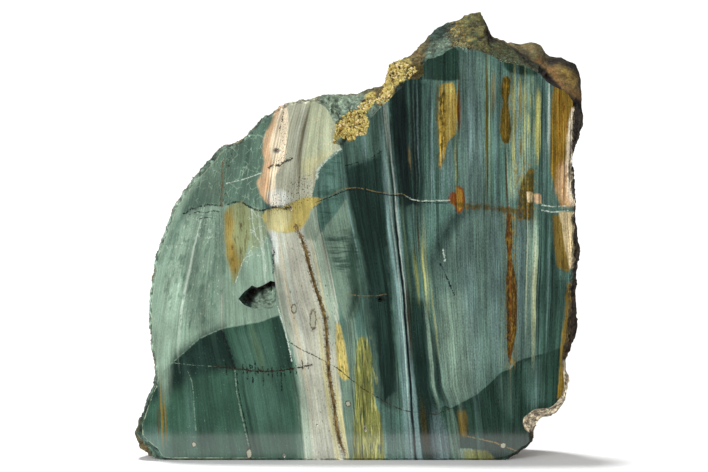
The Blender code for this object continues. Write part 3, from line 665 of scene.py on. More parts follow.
# Fields of thin veins that meet in a net, with the size of its meshes and the width of a vein
NETS = [
    Net("crown_net", "pale_sage", 4.4, 0.4, 0.7, [
        (178, 215), (200, 178), (228, 145), (268, 112), (268, 140), (262, 205), (230, 203)]),
    Net("left_net", "chalk", 3.0, 0.35, 0.55, [
        (185, 212), (223, 206), (226, 238), (205, 244), (186, 236)]),
    Net("tongue_net", "shell", 4.0, 0.3, 0.4, [
        (305, 100), (335, 103), (340, 148), (318, 170), (303, 150)]),
    Net("wedge_net", "chalk", 4.2, 0.4, 0.6, [
        (246, 206), (266, 208), (272, 250), (258, 262), (240, 268), (250, 240)]),
]

# Cracks and veins, flush with the face
LINES = [
    Line("gold", 0.3, [
        (316, 200), (324, 197), (332, 194), (340, 189), (348, 187.5), (356, 187), (366, 188.5),
        (375, 191), (390, 193), (402, 193), (407, 196)]),
    Line("pale", 0.35, [(405, 195), (412, 199), (419, 200), (435, 200), (449, 199.5)]),
    Line("dark", 0.35, [
        (316, 201.6), (332, 195.6), (348, 189.2), (366, 190.2), (390, 194.6), (402, 195.2),
        (412, 201.2), (435, 202.2), (449, 202.2)]),
    Line("pale", 0.4, [(541, 204.5), (552, 206), (568, 205)]),
    Line("pale", 0.4, [(541, 209.5), (552, 211.5), (567, 210)]),
    Line("dark", 0.55, [
        (184, 213), (188, 211.5), (192, 208), (196, 208.5), (199, 205.5), (205, 205.5),
        (208, 203.5), (214, 204.5), (222, 205)]),
    Line("dark", 0.35, [(190, 214), (198, 211), (206, 212), (214, 210), (220, 211)]),
    Line("dark", 0.3, [(200, 218), (208, 216.5), (216, 218)]),
    Line("faint", 0.4, [(186, 215), (196, 213.5), (204, 215), (212, 214), (220, 216)]),
    Line("faint", 0.35, [(160, 244), (172, 243), (184, 244), (190, 246)]),
    Line("dark", 0.6, [(274, 246), (274.6, 252), (273, 258), (274, 266), (273, 272)]),
    Line("pale", 0.6, [(272, 238), (275, 241), (276, 246)]),
    Line("dark", 0.6, [
        (228, 204), (236, 201), (243, 202), (250, 206), (256, 209), (262, 210), (268, 208)]),
    Line("dark", 0.8, [(268, 208), (274, 206), (280, 207), (285, 208), (291, 206)]),
    Line("brown", 0.6, [(224, 160), (222.5, 172), (223, 184), (222, 196), (222.5, 206)]),
    Line("faint", 0.3, [(227, 168), (226, 176), (225.5, 184), (224, 196)]),
    Line("dark", 0.8, [(222, 330), (226, 341), (230, 352), (233, 362), (235, 368)]),
    Line("faint", 0.45, [
        (235, 368), (236, 380), (237, 392), (240, 406), (243, 420), (246, 434), (249, 446)]),
    Line("dark", 0.35, [
        (237, 372), (238, 386), (241, 402), (244.5, 418), (248, 434), (251, 448)]),
    Line("faint", 0.3, [(188, 370), (192, 380), (193.5, 390), (194, 404), (196, 430)]),
    Line("faint", 0.22, [(174, 362), (190, 364), (204, 365), (222, 366)]),
    Line("rust", 0.7, [
        (216, 366), (228, 366.5), (240, 368.5), (252, 370), (266, 370.5), (278, 370),
        (290, 368.5), (302, 366), (312, 364)]),
    Line("dark", 0.4, [
        (222, 366.5), (240, 368.5), (252, 370), (266, 370.5), (278, 370), (290, 368.5), (302, 366)]),
    Line("rust", 0.35, [
        (289, 341), (300, 348), (313, 354), (324, 360), (337, 367), (349, 377), (363, 388),
        (380, 398), (392, 405), (404, 410), (420, 412), (437, 413.6), (450, 408)]),
    Line("gold", 0.4, [(468, 436), (482, 439), (495, 442), (502, 445), (510, 448), (519, 451)]),
    Line("pale", 0.45, [(278, 306), (281, 316), (285, 329), (289, 345), (292, 361)]),
    Line("dark", 0.8, [(269, 167), (275, 164), (280, 165), (284, 162), (292, 158)]),
    Line("dark", 0.5, [(284, 112), (283, 117), (282.5, 121)]),
    Line("dark", 0.5, [(281, 125), (280.4, 129), (280, 131)]),
    Line("dark", 0.35, [(345.5, 165), (356, 162), (364, 160), (372, 157), (381, 151)]),
    Line("pale", 0.8, [(317, 178), (318, 169), (324, 162), (331, 156), (341, 148.5)]),
    Line("pale", 0.35, [(226, 183), (240, 180), (252, 176), (262, 172)]),
    Line("pale", 0.35, [
        (252, 208), (253, 222), (256, 235), (260, 240), (262, 248), (266, 257), (266, 272)]),
    Line("pale", 0.3, [(236, 282), (242, 264), (245, 257), (252, 254)]),
    Line("faint", 0.4, [
        (155, 386), (168, 366), (184, 352), (199, 338), (221, 328), (237, 325), (260, 321),
        (279, 314)]),
    # Painted shade: a dark blob around the worm hole, standing in for the shade inside it
    Line("dark", 2.6, [(381, 296), (383, 298)]),
    Line("gold", 0.25, [(340, 295), (350, 294), (362, 295), (376, 295), (387, 293)]),
    Line("dark", 0.5, [(440, 263), (448, 280), (454, 294)]),
    Line("pale", 0.5, [(442.5, 248), (444, 254), (444.5, 260)]),
]

# Short ticks across the rusty crack: each one's column, top row and bottom row
TICKS = [
    (226, 363, 374), (232, 362, 369), (243, 364, 373), (247, 366, 378), (250, 363, 373),
    (252.5, 365, 382), (255, 360, 376), (258, 367, 375), (263, 366, 384), (268, 368, 374),
    (272, 366, 380), (277, 367, 376), (281, 366, 390), (284, 365, 376), (290, 365, 372),
    (296, 364, 373), (302, 360, 369), (308, 362, 368),
]
LINES += [Line("dark", 0.45, [(x, top), (x + 0.8, bottom)]) for x, top, bottom in TICKS]

# The long open seam down the pale band. The solid has it as a hollow, and this colours its rims
SEAM = Line("brown", 1.6, [
    (296.7, 225), (305.9, 249.4), (310.5, 269.4), (315.9, 287.8), (324.3, 313.8), (325.9, 325.8),
    (327.5, 350.8), (328.9, 373.8), (331.9, 391.8), (334.3, 406.8), (336.5, 425.8),
    (339.7, 440.8), (344.3, 452.8)])

# Small holes that are cut into the face
PITS = [
    Pit((277, 150), 1.9, 1.5, 1.2),
    Pit((317, 424), 0.6, 0.6, 0.4),
    Pit((365, 428), 0.8, 1.4, 1.2),
    Pit((291, 207), 0.7, 1.3, 1.2),
    Pit((284, 455), 0.7, 1.0, 0.4),
]

# Pale eyes with a brown ring, flush with the face
EYES = [
    Eye((294, 308), 1.3, 2.3),
    Eye((313, 319), 1.6, 5.0),
    Eye((194, 444), 1.2, 1.3),
    Eye((249, 453), 1.4, 2.6),
    Eye((503, 445), 1.6, 1.4),
    Eye((348, 403), 1.3, 1.5),
]

# Fields of colour on the raw stone, over its banding and rind; some are painted shade in its hollows
RAW_ZONES = [
    Zone("slope_sage", "sage", 1.5, 1.0, 0.8, [
        (318, 90), (345, 96), (372, 94), (366, 108), (345, 120), (338, 150), (325, 140)]),
    Zone("crumbs_low", "yellow", 0.6, 0.9, 1.0, [
        (337, 124), (345, 115), (356, 111), (365, 112), (369, 122), (371, 133), (362, 137),
        (354, 142), (346, 139), (340, 136), (334, 146), (330, 140)]),
    Zone("crumbs_middle", "yellow", 0.8, 0.8, 0.9, [
        (360, 110), (366, 95), (374, 90), (376, 98), (368, 108), (364, 114)]),
    Zone("crumbs_high", "yellow", 0.8, 0.9, 0.95, [
        (380, 102), (385, 88), (388, 66), (398, 60), (410, 58), (414, 68), (404, 80), (395, 86),
        (392, 98), (386, 106)]),
    Zone("mottled", "olive_brown", 1.0, 0.9, 0.95, [
        (404, 66), (414, 62), (428, 66), (430, 76), (420, 86), (408, 84)]),
    Zone("scoop", "shade_green", 0.8, 0.5, 0.85, [
        (424, 52), (432, 42), (444, 38), (452, 38), (450, 50), (440, 58), (428, 62)]),
    Zone("peak_left", "deep_teal", 1.0, 0.8, 0.95, [
        (428, 44), (432, 26), (446, 16), (462, 14), (458, 28), (450, 38), (438, 40)]),
    Zone("peak_face", "khaki", 0.8, 0.8, 0.95, [
        (452, 34), (458, 16), (470, 8), (484, 8), (492, 40), (490, 60), (484, 54), (466, 48),
        (452, 46)]),
    Zone("peak_right", "dark_brown", 0.6, 0.5, 0.95, [
        (481, 8), (500, 30), (496, 44), (490, 50), (486, 30)]),
    Zone("ledge", "moss_brown", 0.8, 1.0, 0.9, [
        (488, 44), (500, 42), (516, 50), (532, 62), (538, 70), (522, 68), (500, 62), (489, 58)]),
    # Painted shadow: the start of the groove behind the face, painted near black
    Zone("crest", "black_brown", 0.8, 0.8, 0.95, [
        (491, 34), (500, 36), (512, 38), (522, 42), (528, 48), (522, 50), (512, 46), (500, 43),
        (492, 42)]),
    Zone("first_lump", "khaki", 1.0, 0.6, 0.95, [
        (522, 46), (528, 34), (540, 32), (550, 42), (552, 56), (546, 66), (536, 60)]),
    Zone("lump_orange", "cinnamon", 1.2, 0.8, 0.85, [
        (536, 62), (542, 52), (548, 46), (553, 52), (552, 62), (545, 68)]),
    Zone("second_lump", "tan", 1.0, 0.6, 0.95, [
        (543, 66), (549, 56), (556, 48), (570, 46), (592, 58), (594, 100), (580, 100), (566, 92),
        (554, 80)]),
    Zone("lump_left", "cinnamon", 1.6, 1.0, 0.6, [
        (543, 66), (549, 56), (555, 54), (556, 66), (560, 78), (568, 88), (582, 93), (592, 94),
        (592, 102), (580, 100), (566, 92), (554, 80)]),
    Zone("lump_middle", "honey", 2.5, 1.4, 0.55, [
        (558, 58), (570, 54), (582, 64), (583, 84), (572, 86), (562, 74)]),
    # Painted shadow: the groove between the face and the lumps, painted near black
    Zone("cleft", "black_brown", 1.0, 0.8, 0.95, [
        (508, 44), (520, 48), (532, 60), (546, 70), (556, 84), (566, 95), (580, 103), (592, 104),
        (592, 116), (578, 108), (562, 98), (548, 86), (534, 70), (518, 56)]),
    # Painted shade: the hollow of the pocket is painted dark teal
    Zone("pocket", "deep_teal", 0.6, 0.4, 1.0, [
        (234, 298), (243, 289), (252, 281), (263, 281), (270, 276), (273, 268), (279, 281),
        (281, 303), (272, 312), (244, 308)]),
    Zone("pocket_slope", "pale_sage", 1.0, 0.6, 1.0, [
        (250, 312), (253, 302), (260, 292), (268, 288), (284, 284), (286, 314)]),
    # Painted shadow: the upper part of the pocket, where its shadow falls, is painted near black
    Zone("pocket_dark", "black_brown", 1.2, 0.6, 1.0, [
        (244, 300), (250, 288), (262, 283), (270, 276), (274, 264), (284, 276), (282, 284),
        (268, 288), (258, 292), (250, 303)]),
    Zone("scoop_rim", "grey_sage", 0.6, 0.8, 0.6, [
        (424, 60), (430, 50), (440, 43), (450, 42), (452, 46), (443, 48), (434, 54), (428, 62)]),
    Zone("sage_ledge", "grey_sage", 0.8, 0.8, 0.8, [
        (370, 116), (372, 100), (382, 98), (388, 96), (392, 104), (384, 112)]),
    Zone("seam", "tan", 1.0, 0.4, 1.0, [
        (293, 222), (300, 222), (312, 262), (328, 312), (331, 352), (336, 404), (348, 456),
        (340, 456), (331, 410), (325, 360), (321, 316), (306, 264)]),
    Zone("peach_chip", "peach_pale", 0.6, 0.5, 0.95, [
        (518, 412), (524, 404), (536, 404), (552, 398), (556, 384), (562, 360), (572, 360),
        (570, 396), (556, 412), (540, 424), (536, 436), (526, 430)]),
]

# Fields of the raw stone in which a colour shows only where noise is high enough
RAW_MOTTLES = [
    Mottle("peak_ochre", "honey", (1.6, 1.6, 2.2), 0.5, 0.6, 0.75, [
        (448, 22), (462, 16), (470, 34), (472, 50), (450, 48), (446, 36)]),
    Mottle("peak_pale", "olive_pale", (0.6, 0.6, 0.6), 0.56, 0.64, 0.9, [
        (448, 22), (458, 18), (464, 34), (476, 50), (452, 50), (440, 48), (428, 60), (424, 54),
        (444, 40)]),
    Mottle("peak_green", "bottle_green", (3.0, 3.0, 4.0), 0.5, 0.6, 0.45, [
        (460, 18), (482, 10), (488, 40), (488, 56), (466, 48)]),
    Mottle("ledge_green", "moss", (3.0, 2.0, 1.6), 0.52, 0.62, 0.6, LEDGE_FIELD),
    Mottle("ledge_ochre", "ochre", (2.2, 1.4, 1.4), 0.58, 0.68, 0.35, LEDGE_FIELD),
    Mottle("ledge_pale", "olive_pale", (0.6, 0.6, 0.5), 0.58, 0.66, 0.9, [
        (486, 52), (500, 56), (540, 70), (540, 76), (518, 72), (490, 62)]),
    Mottle("lump_shade", "umber", (5.0, 4.0, 4.0), 0.5, 0.64, 0.45, [
        (526, 36), (550, 42), (570, 44), (592, 56), (594, 96), (566, 90), (546, 70)]),
    Mottle("chip_cracks", "umber", (2.6, 1.6, 1.8), 0.5, 0.58, 0.75, [
        (514, 412), (524, 398), (548, 398), (556, 330), (590, 330), (590, 400), (560, 430),
        (530, 450)]),
]

# Smooth lumps of rind, with little of the raw stone's chips and grit
LUMPS = [
    [(524, 44), (532, 32), (546, 36), (554, 48), (562, 42), (576, 46), (598, 60), (598, 104),
     (578, 104), (562, 92), (548, 74), (534, 64)],
    [(488, 48), (500, 46), (516, 52), (536, 66), (536, 74), (518, 70), (500, 64), (489, 60)],
]

# Fields of the raw stone that are strewn with crumbs
CRUMBLY = [
    [(336, 123), (347, 113), (360, 108), (366, 109), (368, 122), (371, 132), (361, 136),
     (355, 142), (346, 139), (338, 137), (334, 146), (330, 141)],
    [(356, 112), (364, 97), (374, 92), (378, 99), (368, 110), (364, 116)],
    [(376, 104), (383, 88), (388, 66), (398, 62), (410, 64), (418, 70), (410, 78), (396, 84),
     (390, 96), (386, 106)],
]


def on_face(pixel):
    """The place on the face, as (x, z) in millimetres, of a pixel of the photograph."""
    return (pixel[0] - PHOTO_MIDDLE) * PHOTO_PIXEL, (PHOTO_FOOT - pixel[1]) * PHOTO_PIXEL


def all_on_face(pixels):
    """The places on the face of some pixels."""
    return [on_face(pixel) for pixel in pixels]


def linear(name):
    """A named colour as the linear red, green, blue and alpha that a shader takes."""
    def channel(value):
        value /= 255
        return value / 12.92 if value <= 0.04045 else ((value + 0.055) / 1.055) ** 2.4

    return tuple(channel(value) for value in COLOURS[name]) + (1.0,)


def smooth_step(values, low, high):
    """0 below low, 1 above high, and an even curve between."""
    share = np.clip((values - low) / (high - low), 0, 1)
    return share * share * (3 - 2 * share)


# Distances and directions on the face

def distance_to_route(places, route, closed=False):
    """Distance of each (x, z) place from a route of straight stretches."""
    corners = np.array(route, float)
    ends = np.roll(corners, -1, axis=0) if closed else corners[1:]
    nearest = np.full(len(places), np.inf)
    for start, end in zip(corners, ends):
        along = end - start
        share = np.clip((places - start) @ along / (along @ along), 0, 1)
        nearest = np.minimum(nearest, np.hypot(*(places - start - share[:, None] * along).T))
    return nearest


def is_inside(places, outline):
    """Whether each (x, z) place is inside a closed outline."""
    x, z = places.T
    inside = np.zeros(len(places), bool)
    corners = np.array(outline, float)
    for (ax, az), (bx, bz) in zip(corners, np.roll(corners, -1, axis=0)):
        if az != bz:
            crosses = (az > z) != (bz > z)
            inside ^= crosses & (x < ax + (z - az) / (bz - az) * (bx - ax))
    return inside


def depth_inside(places, outline):
    """How far each place is inside an outline, in millimetres, and below 0 outside it."""
    distance = distance_to_route(places, outline, closed=True)
    return np.where(is_inside(places, outline), distance, -distance)


def depth_in_fields(places, outlines):
    """How far each place is inside the nearest of some fields, outlined in pixels."""
    return np.max([depth_inside(places, all_on_face(outline)) for outline in outlines], axis=0)


def across_grain(places):
    """Where each place lies across the grain, in millimetres at the photograph's row 300."""
    rows = [np.array(all_on_face(line))[::-1] for line in GRAIN_LINES]
    x, z = places.T
    lines = np.array([np.interp(z, row[:, 1], row[:, 0]) for row in rows])
    level = on_face((0, 300))[1]
    marks = np.array([np.interp(level, row[:, 1], row[:, 0]) for row in rows])
    across = np.where(x < lines[0], marks[0] + x - lines[0], marks[-1] + x - lines[-1])
    for left, right, low, high in zip(lines, lines[1:], marks, marks[1:]):
        share = (x - left) / (right - left)
        between = (share >= 0) & (share <= 1)
        across = np.where(between, low + share * (high - low), across)
    return across


# The stone's fine surface

def packed_solid(node):
    """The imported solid's points and triangles, in millimetres from its face, and its front."""
    mesh = bmesh.new()
    mesh.from_mesh(node.data)
    bmesh.ops.remove_doubles(mesh, verts=mesh.verts, dist=1e-6)
    bmesh.ops.triangulate(mesh, faces=mesh.faces)
    mesh.verts.index_update()
    points = np.array([vertex.co for vertex in mesh.verts]) / MILLIMETRE
    triangles = np.array([[vertex.index for vertex in face.verts] for face in mesh.faces])
    mesh.free()
    front = points[:, 1].min()
    points[:, 1] -= front
    return points, triangles, front


def without_polished(points, triangles):
    """The raw stone: the triangles that aren't on the polished face, and only their points."""
    triangles = triangles[points[triangles, 1].max(axis=1) > ON_PLANE]
    used, triangles = np.unique(triangles, return_inverse=True)
    return points[used], triangles.reshape(-1, 3)


def longest_edge(places):
    """The longest edge wanted at each place: short on the front slopes, long on the back."""
    behind = np.clip((places[:, 1] - FINE_DEPTH) / (COARSE_DEPTH - FINE_DEPTH), 0, 1)
    wanted = FINE_EDGE + (COARSE_EDGE - FINE_EDGE) * behind
    return np.where(places[:, 2] < ON_PLANE, FOOT_EDGE, wanted)


def edges_of(triangles):
    """The edges of some triangles, and which edge each side of each triangle is."""
    sides = np.sort(triangles[:, [[0, 1], [1, 2], [2, 0]]].reshape(-1, 2), axis=1)
    count = triangles.max() + 1
    keys, side_edge = np.unique(sides[:, 0] * count + sides[:, 1], return_inverse=True)
    return np.column_stack([keys // count, keys % count]), side_edge


def refined(points, triangles):
    """The triangles, halved along their edges until no edge is longer than is wanted there."""
    while True:
        edges, side_edge = edges_of(triangles)
        ends = points[edges]
        middles = ends.mean(axis=1)
        is_long = np.linalg.norm(ends[:, 0] - ends[:, 1], axis=1) > longest_edge(middles)
        if not is_long.any():
            return points, triangles
        new_point = np.full(len(edges), -1)
        new_point[is_long] = len(points) + np.arange(is_long.sum())
        points = np.vstack([points, middles[is_long]])
        halves = new_point[side_edge].reshape(-1, 3)
        pieces = [part for corners, cuts in zip(triangles.tolist(), halves.tolist())
                  for part in cut_triangle(corners, cuts)]
        triangles = np.array(pieces)


def cut_triangle(corners, cuts):
    """The parts of a triangle whose sides 0-1, 1-2 and 2-0 are cut at these points, or -1."""
    whole = [cut for cut in cuts if cut >= 0]
    if not whole:
        return [corners]
    if len(whole) == 3:
        a, b, c = corners
        ab, bc, ca = cuts
        return [(a, ab, ca), (b, bc, ab), (c, ca, bc), (ab, bc, ca)]
    if len(whole) == 1:
        turn = next(i for i in range(3) if cuts[i] >= 0)
    else:
        turn = next(i for i in range(3) if cuts[i] >= 0 and cuts[(i + 1) % 3] >= 0)
    a, b, c = corners[turn], corners[(turn + 1) % 3], corners[(turn + 2) % 3]
    ab, bc = cuts[turn], cuts[(turn + 1) % 3]
    if bc < 0:
        return [(a, ab, c), (ab, b, c)]
    return [(ab, b, bc), (a, ab, bc), (a, bc, c)]


def rim_loops(triangles):
    """The loops of points around the open rims of some triangles, each against their order."""
    sides = triangles[:, [[0, 1], [1, 2], [2, 0]]].reshape(-1, 2).tolist()
    there = {(a, b) for a, b in sides}
    onward = {b: a for a, b in sides if (b, a) not in there}
    loops = []
    while onward:
        start = min(onward)
        loop, here = [start], onward.pop(start)
        while here != start:
            loop.append(here)
            here = onward.pop(here)
        loops.append(loop)
    return loops


def smoothed(points, triangles, free, rounds):
    """The points, with the free ones moved halfway to the middle of their neighbours each round."""
    edges = edges_of(triangles)[0]
    for _ in range(rounds):
        total = np.zeros_like(points)
        count = np.zeros(len(points))
        for a, b in (edges.T, edges.T[::-1]):
            np.add.at(total, a, points[b])
            np.add.at(count, a, 1)
        middle = total / count[:, None]
        points = np.where(free[:, None], (points + middle) / 2, points)
    return points


def normals_of(points, triangles):
    """The direction that the surface faces at each point."""
    a, b, c = (points[triangles[:, i]] for i in range(3))
    facing = np.cross(b - a, c - a)
    normals = np.zeros_like(points)
    for i in range(3):
        np.add.at(normals, triangles[:, i], facing)
    return normals / np.maximum(np.linalg.norm(normals, axis=1), 1e-9)[:, None]


def chipped(place, size):
    """Height of flat chips of about a size, each tilted its own way, within about -1 and 1."""
    scaled = place / size
    centre = noise.voronoi(scaled)[1][0]
    tilt = noise.cell_vector(centre * 7.3) - Vector((0.5, 0.5, 0.5))
    return (scaled - centre).dot(tilt) * 2.2


def raw_relief(place):
    """How far the raw stone stands out at a place, in millimetres."""
    start, end = WEATHERED_DEPTHS
    behind = min(1.0, max(0.0, (place.y - start) / (end - start)))
    chips = sum(height * chipped(place, size) for height, size in CHIPS)
    grit = GRIT_HEIGHT * noise.fractal(place / GRIT_SIZE, 0.8, 2.0, 3)
    grain = Vector((place.x / 5, place.y / 9, place.z / 34))
    coarse = noise.fractal(grain, 0.9, 2.1, 4)
    weathered = 0.9 * coarse + 0.4 * noise.fractal(place / 5, 0.8, 2.1, 4)
    return (chips + grit) * (1 - 0.6 * behind) + weathered * behind


def roughened(points, triangles, loops):
    """The raw stone's points, facets rounded and chips, grit and grain raised, and that relief."""
    free = points[:, 2] > ON_PLANE
    for loop in loops:
        free[loop] = False
    points = smoothed(points, triangles, free, rounds=3)
    normals = normals_of(points, triangles)
    shallow = np.clip(points[:, 1] / 1.5, 0.25, 1)
    relief = np.zeros(len(points))
    for i in np.flatnonzero(free):
        relief[i] = raw_relief(Vector(points[i]))
    lumps = depth_in_fields(points[:, [0, 2]], LUMPS)
    calm = smooth_step(lumps, -1, 3) * smooth_step(points[:, 1], *LUMP_DEPTHS)
    relief *= 1 - LUMP_CALM * calm
    points += normals * (relief * shallow)[:, None]
    points[free, 1] = np.maximum(points[free, 1], BEHIND_FACE)
    points[free, 2] = np.maximum(points[free, 2], ABOVE_FOOT)
    for loop in loops:
        share = 1.0 if loop is loops[0] else 0.4
        for i in loop:
            place = Vector(points[i])
            if place.z > 1.5:
                shift = noise.noise_vector(place / 1.7) * 0.24 + noise.noise_vector(place / 5) * 0.2
                points[i] += (shift.x * share, 0, shift.z * share)
    return points, relief


def grid_places(low, high, step):
    """Places on a grid of equal triangles between two corners."""
    rows = np.arange(low[1], high[1], step * math.sqrt(3) / 2)
    columns = np.arange(low[0], high[0], step)
    shifts = (np.arange(len(rows)) % 2)[:, None] * step / 2
    x = columns[None, :] + shifts
    z = np.broadcast_to(rows[:, None], x.shape)
    return np.column_stack([x.ravel(), z.ravel()])


def face_places(low, high):
    """Places to mesh the polished face with: a wide grid, and a close one along its lines."""
    wide = grid_places(low, high, FACE_GRID)
    wide = wide[marked_distance(wide) > LINE_MARGIN + 0.5 * LINE_GRID]
    close = grid_places(low, high, LINE_GRID)
    return np.vstack([wide, close[marked_distance(close) < LINE_MARGIN]])


def near_box(places, outline, reach):
    """The numbers of the places within reach of the box around an outline."""
    low, high = np.min(outline, axis=0) - reach, np.max(outline, axis=0) + reach
    return np.flatnonzero(((places > low) & (places < high)).all(axis=1))


def marked_distance(places):
    """Distance of each place from the nearest line, hole or eye, up to the reach of a mark."""
    nearest = np.full(len(places), MARK_REACH)
    for line in LINES + [SEAM]:
        route = all_on_face(line.route)
        near = near_box(places, route, MARK_REACH)
        distance = distance_to_route(places[near], route) - line.half_width
        nearest[near] = np.minimum(nearest[near], distance)
    for pit in PITS + EYES:
        distance = (pit_distance(places, pit) - 1) * pit.half_width
        nearest = np.minimum(nearest, distance)
    return nearest


def pit_distance(places, pit):
    """Distance from the middle of a hole or eye, as a share of its own size."""
    middle = np.array(on_face(pit.place))
    return np.hypot(*((places - middle) / (pit.half_width, pit.half_height)).T)


def line_closeness(places, line):
    """1 on a line, 0 at its half-width from it, and less beyond that."""
    closeness = np.full(len(places), LEAST_CLOSENESS)
    route = all_on_face(line.route)
    near = near_box(places, route, (1 - LEAST_CLOSENESS) * line.half_width)
    closeness[near] = 1 - distance_to_route(places[near], route) / line.half_width
    return np.maximum(closeness, LEAST_CLOSENESS)


def carving(places):
    """How deep the polished face is cut at each place, in millimetres."""
    deep = np.zeros(len(places))
    for pit in PITS:
        deep = np.maximum(deep, pit.depth * smooth_step(1 - pit_distance(places, pit), 0, 0.5))
    return deep


def with_polished_face(points, triangles, loops):
    """The stone closed with its polished face, and how many triangles that face has."""
    rim = sorted(i for loop in loops for i in loop)
    number = {point: i for i, point in enumerate(rim)}
    rim_places = points[rim][:, [0, 2]]
    outlines = [points[loop][:, [0, 2]] for loop in loops]
    inner = face_places(rim_places.min(axis=0), rim_places.max(axis=0))
    for i, outline in enumerate(outlines):
        inside = depth_inside(inner, outline)
        inner = inner[inside > RIM_GAP] if i == 0 else inner[inside < -HOLE_GAP]
    corners = [Vector(place) for place in np.vstack([rim_places, inner])]
    faces = [[number[point] for point in anticlockwise(points, loop)] for loop in loops]
    made = delaunay_2d_cdt(corners, [], faces, 1, 1e-7)
    places = np.array([tuple(corner) for corner in made[0]])
    deep = carving(places)
    point_of = np.zeros(len(places), int)
    added = []
    for i, sources in enumerate(made[3]):
        if sources[0] < len(rim):
            point_of[i] = rim[sources[0]]
        else:
            point_of[i] = len(points) + len(added)
            added.append((places[i, 0], deep[i], places[i, 1]))
    sheet = [triangle for triangle, inside in zip(made[2], made[5]) if list(inside) == [0]]
    sheet = point_of[np.array(sheet)]
    return np.vstack([points, added]), np.vstack([sheet, triangles]), len(sheet)


def anticlockwise(points, loop):
    """A loop of points in the order that runs anticlockwise on the face."""
    x, z = points[loop][:, [0, 2]].T
    area = (x * np.roll(z, -1) - np.roll(x, -1) * z).sum()
    return loop if area > 0 else loop[::-1]


def record_places(data, points, outer_loop):
    """Stores on each point where it lies in the grain, in each field and by each kind of mark."""
    places = points[:, [0, 2]]
    grain = np.column_stack([across_grain(places), places[:, 1], points[:, 1]])
    store(data, "grain", grain, "FLOAT_VECTOR", "vector")
    for field in ZONES + RAW_ZONES + RAW_MOTTLES + MOTTLES + NETS:
        outline = all_on_face(field.outline)
        inside = np.full(len(places), -FIELD_REACH)
        near = near_box(places, outline, FIELD_REACH)
        inside[near] = depth_inside(places[near], outline)
        store(data, field.name, np.maximum(inside, -FIELD_REACH))
    for name, outlines in (("quiet", QUIET), ("lumps", LUMPS)):
        inside = depth_in_fields(places, outlines)
        store(data, name, np.clip(inside, -FIELD_REACH, FIELD_REACH))
    for kind in LINE_COLOURS:
        lines = [line for line in LINES + [SEAM] if line.kind == kind]
        closeness = np.max([line_closeness(places, line) for line in lines], axis=0)
        store(data, kind + "_line", closeness)
    for name, spots, at_middle in (("pits", PITS, 1.3), ("eyes", EYES, 1.0)):
        closeness = np.max([at_middle - pit_distance(places, spot) for spot in spots], axis=0)
        store(data, name, np.maximum(closeness, LEAST_CLOSENESS))
    tree = KDTree(len(outer_loop))
    for i, point in enumerate(outer_loop):
        tree.insert(points[point], i)
    tree.balance()
    store(data, "from_rim", [tree.find(point)[2] for point in points])


def store(data, name, values, kind="FLOAT", field="value"):
    """Stores a value for each point of a mesh, under a name that the finishes read."""
    attribute = data.attributes.new(name, kind, "POINT")
    attribute.data.foreach_set(field, np.asarray(values, np.float32).ravel())


def set_finishes(data, polished_count):
    """Gives each triangle the finish of its kind, in the region that its middle is in."""
    for region in REGIONS:
        group = banding(region)
        data.materials.append(polished_finish(group))
        data.materials.append(raw_finish(group, region))
    centres = np.zeros(len(data.polygons) * 3, np.float32)
    data.polygons.foreach_get("center", centres)
    columns = centres[::3] / MILLIMETRE / PHOTO_PIXEL + PHOTO_MIDDLE
    region = np.searchsorted([right for _, right in REGIONS[:-1]], columns)
    is_raw = np.arange(len(data.polygons)) >= polished_count
    on_foot = centres[2::3] < ON_PLANE * MILLIMETRE
    data.polygons.foreach_set("material_index", (region * 2 + (is_raw & ~on_foot)).astype(np.int32))


def sharpen_rims(data, points, loops):
    """Keeps the rims of the polished face and of the foot sharp in an else smooth surface."""
    rim = {frozenset(pair) for loop in loops for pair in zip(loop, loop[1:] + loop[:1])}
    foot = set(np.flatnonzero(points[:, 2] < ON_PLANE))
    sides = {}
    for face in data.polygons:
        a, b, c = face.vertices
        on_foot = a in foot and b in foot and c in foot
        for pair in ((a, b), (b, c), (c, a)):
            if pair[0] in foot and pair[1] in foot:
                sides.setdefault(frozenset(pair), set()).add(on_foot)
    rim |= {pair for pair, kinds in sides.items() if len(kinds) == 2}
    data.shade_smooth()
    sharp = [frozenset(edge.vertices) in rim for edge in data.edges]
    attribute = data.attributes.new("sharp_edge", "BOOLEAN", "EDGE")
    attribute.data.foreach_set("value", sharp)


def mesh_of(name, points, triangles, front):
    """A mesh of points that were worked in millimetres from the face."""
    data = bpy.data.meshes.new(name)
    places = (points + (0, front, 0)) * MILLIMETRE
    data.from_pydata(places.tolist(), [], triangles.tolist())
    return data


def placed_object(name, data):
    """A new object in the scene."""
    made = bpy.data.objects.new(name, data)
    bpy.context.scene.collection.objects.link(made)
    return made


def dressed_stone(node):
    """The stone as one closed mesh, with its polished face and raw sides, and its crumb bed."""
    points, triangles, front = packed_solid(node)
    points, triangles = refined(*without_polished(points, triangles))
    loops = sorted(rim_loops(triangles), key=len, reverse=True)
    points, relief = roughened(points, triangles, loops)
    bed = crumb_bed(points, triangles, front)
    points, triangles, polished_count = with_polished_face(points, triangles, loops)
    data = mesh_of("dressed_bog_wood", points, triangles, front)
    record_places(data, points, loops[0])
    # The raw finish paints shade from this relief: darker in hollows, lighter on ridges
    relief.resize(len(points), refcheck=False)
    store(data, "relief", relief)
    set_finishes(data, polished_count)
    sharpen_rims(data, points, loops)
    return placed_object("dressed_bog_wood", data), bed


# Crumbs

def crumb_bed(points, triangles, front):
    """The part of the raw stone that crumbs lie on, as a mesh."""
    centres = points[triangles].mean(axis=1)
    covered = depth_in_fields(centres[:, [0, 2]], CRUMBLY) > 0
    covered &= centres[:, 1] < CRUMB_DEPTH
    used, faces = np.unique(triangles[covered], return_inverse=True)
    return mesh_of("crumb_bed", points[used], faces.reshape(-1, 3), front)


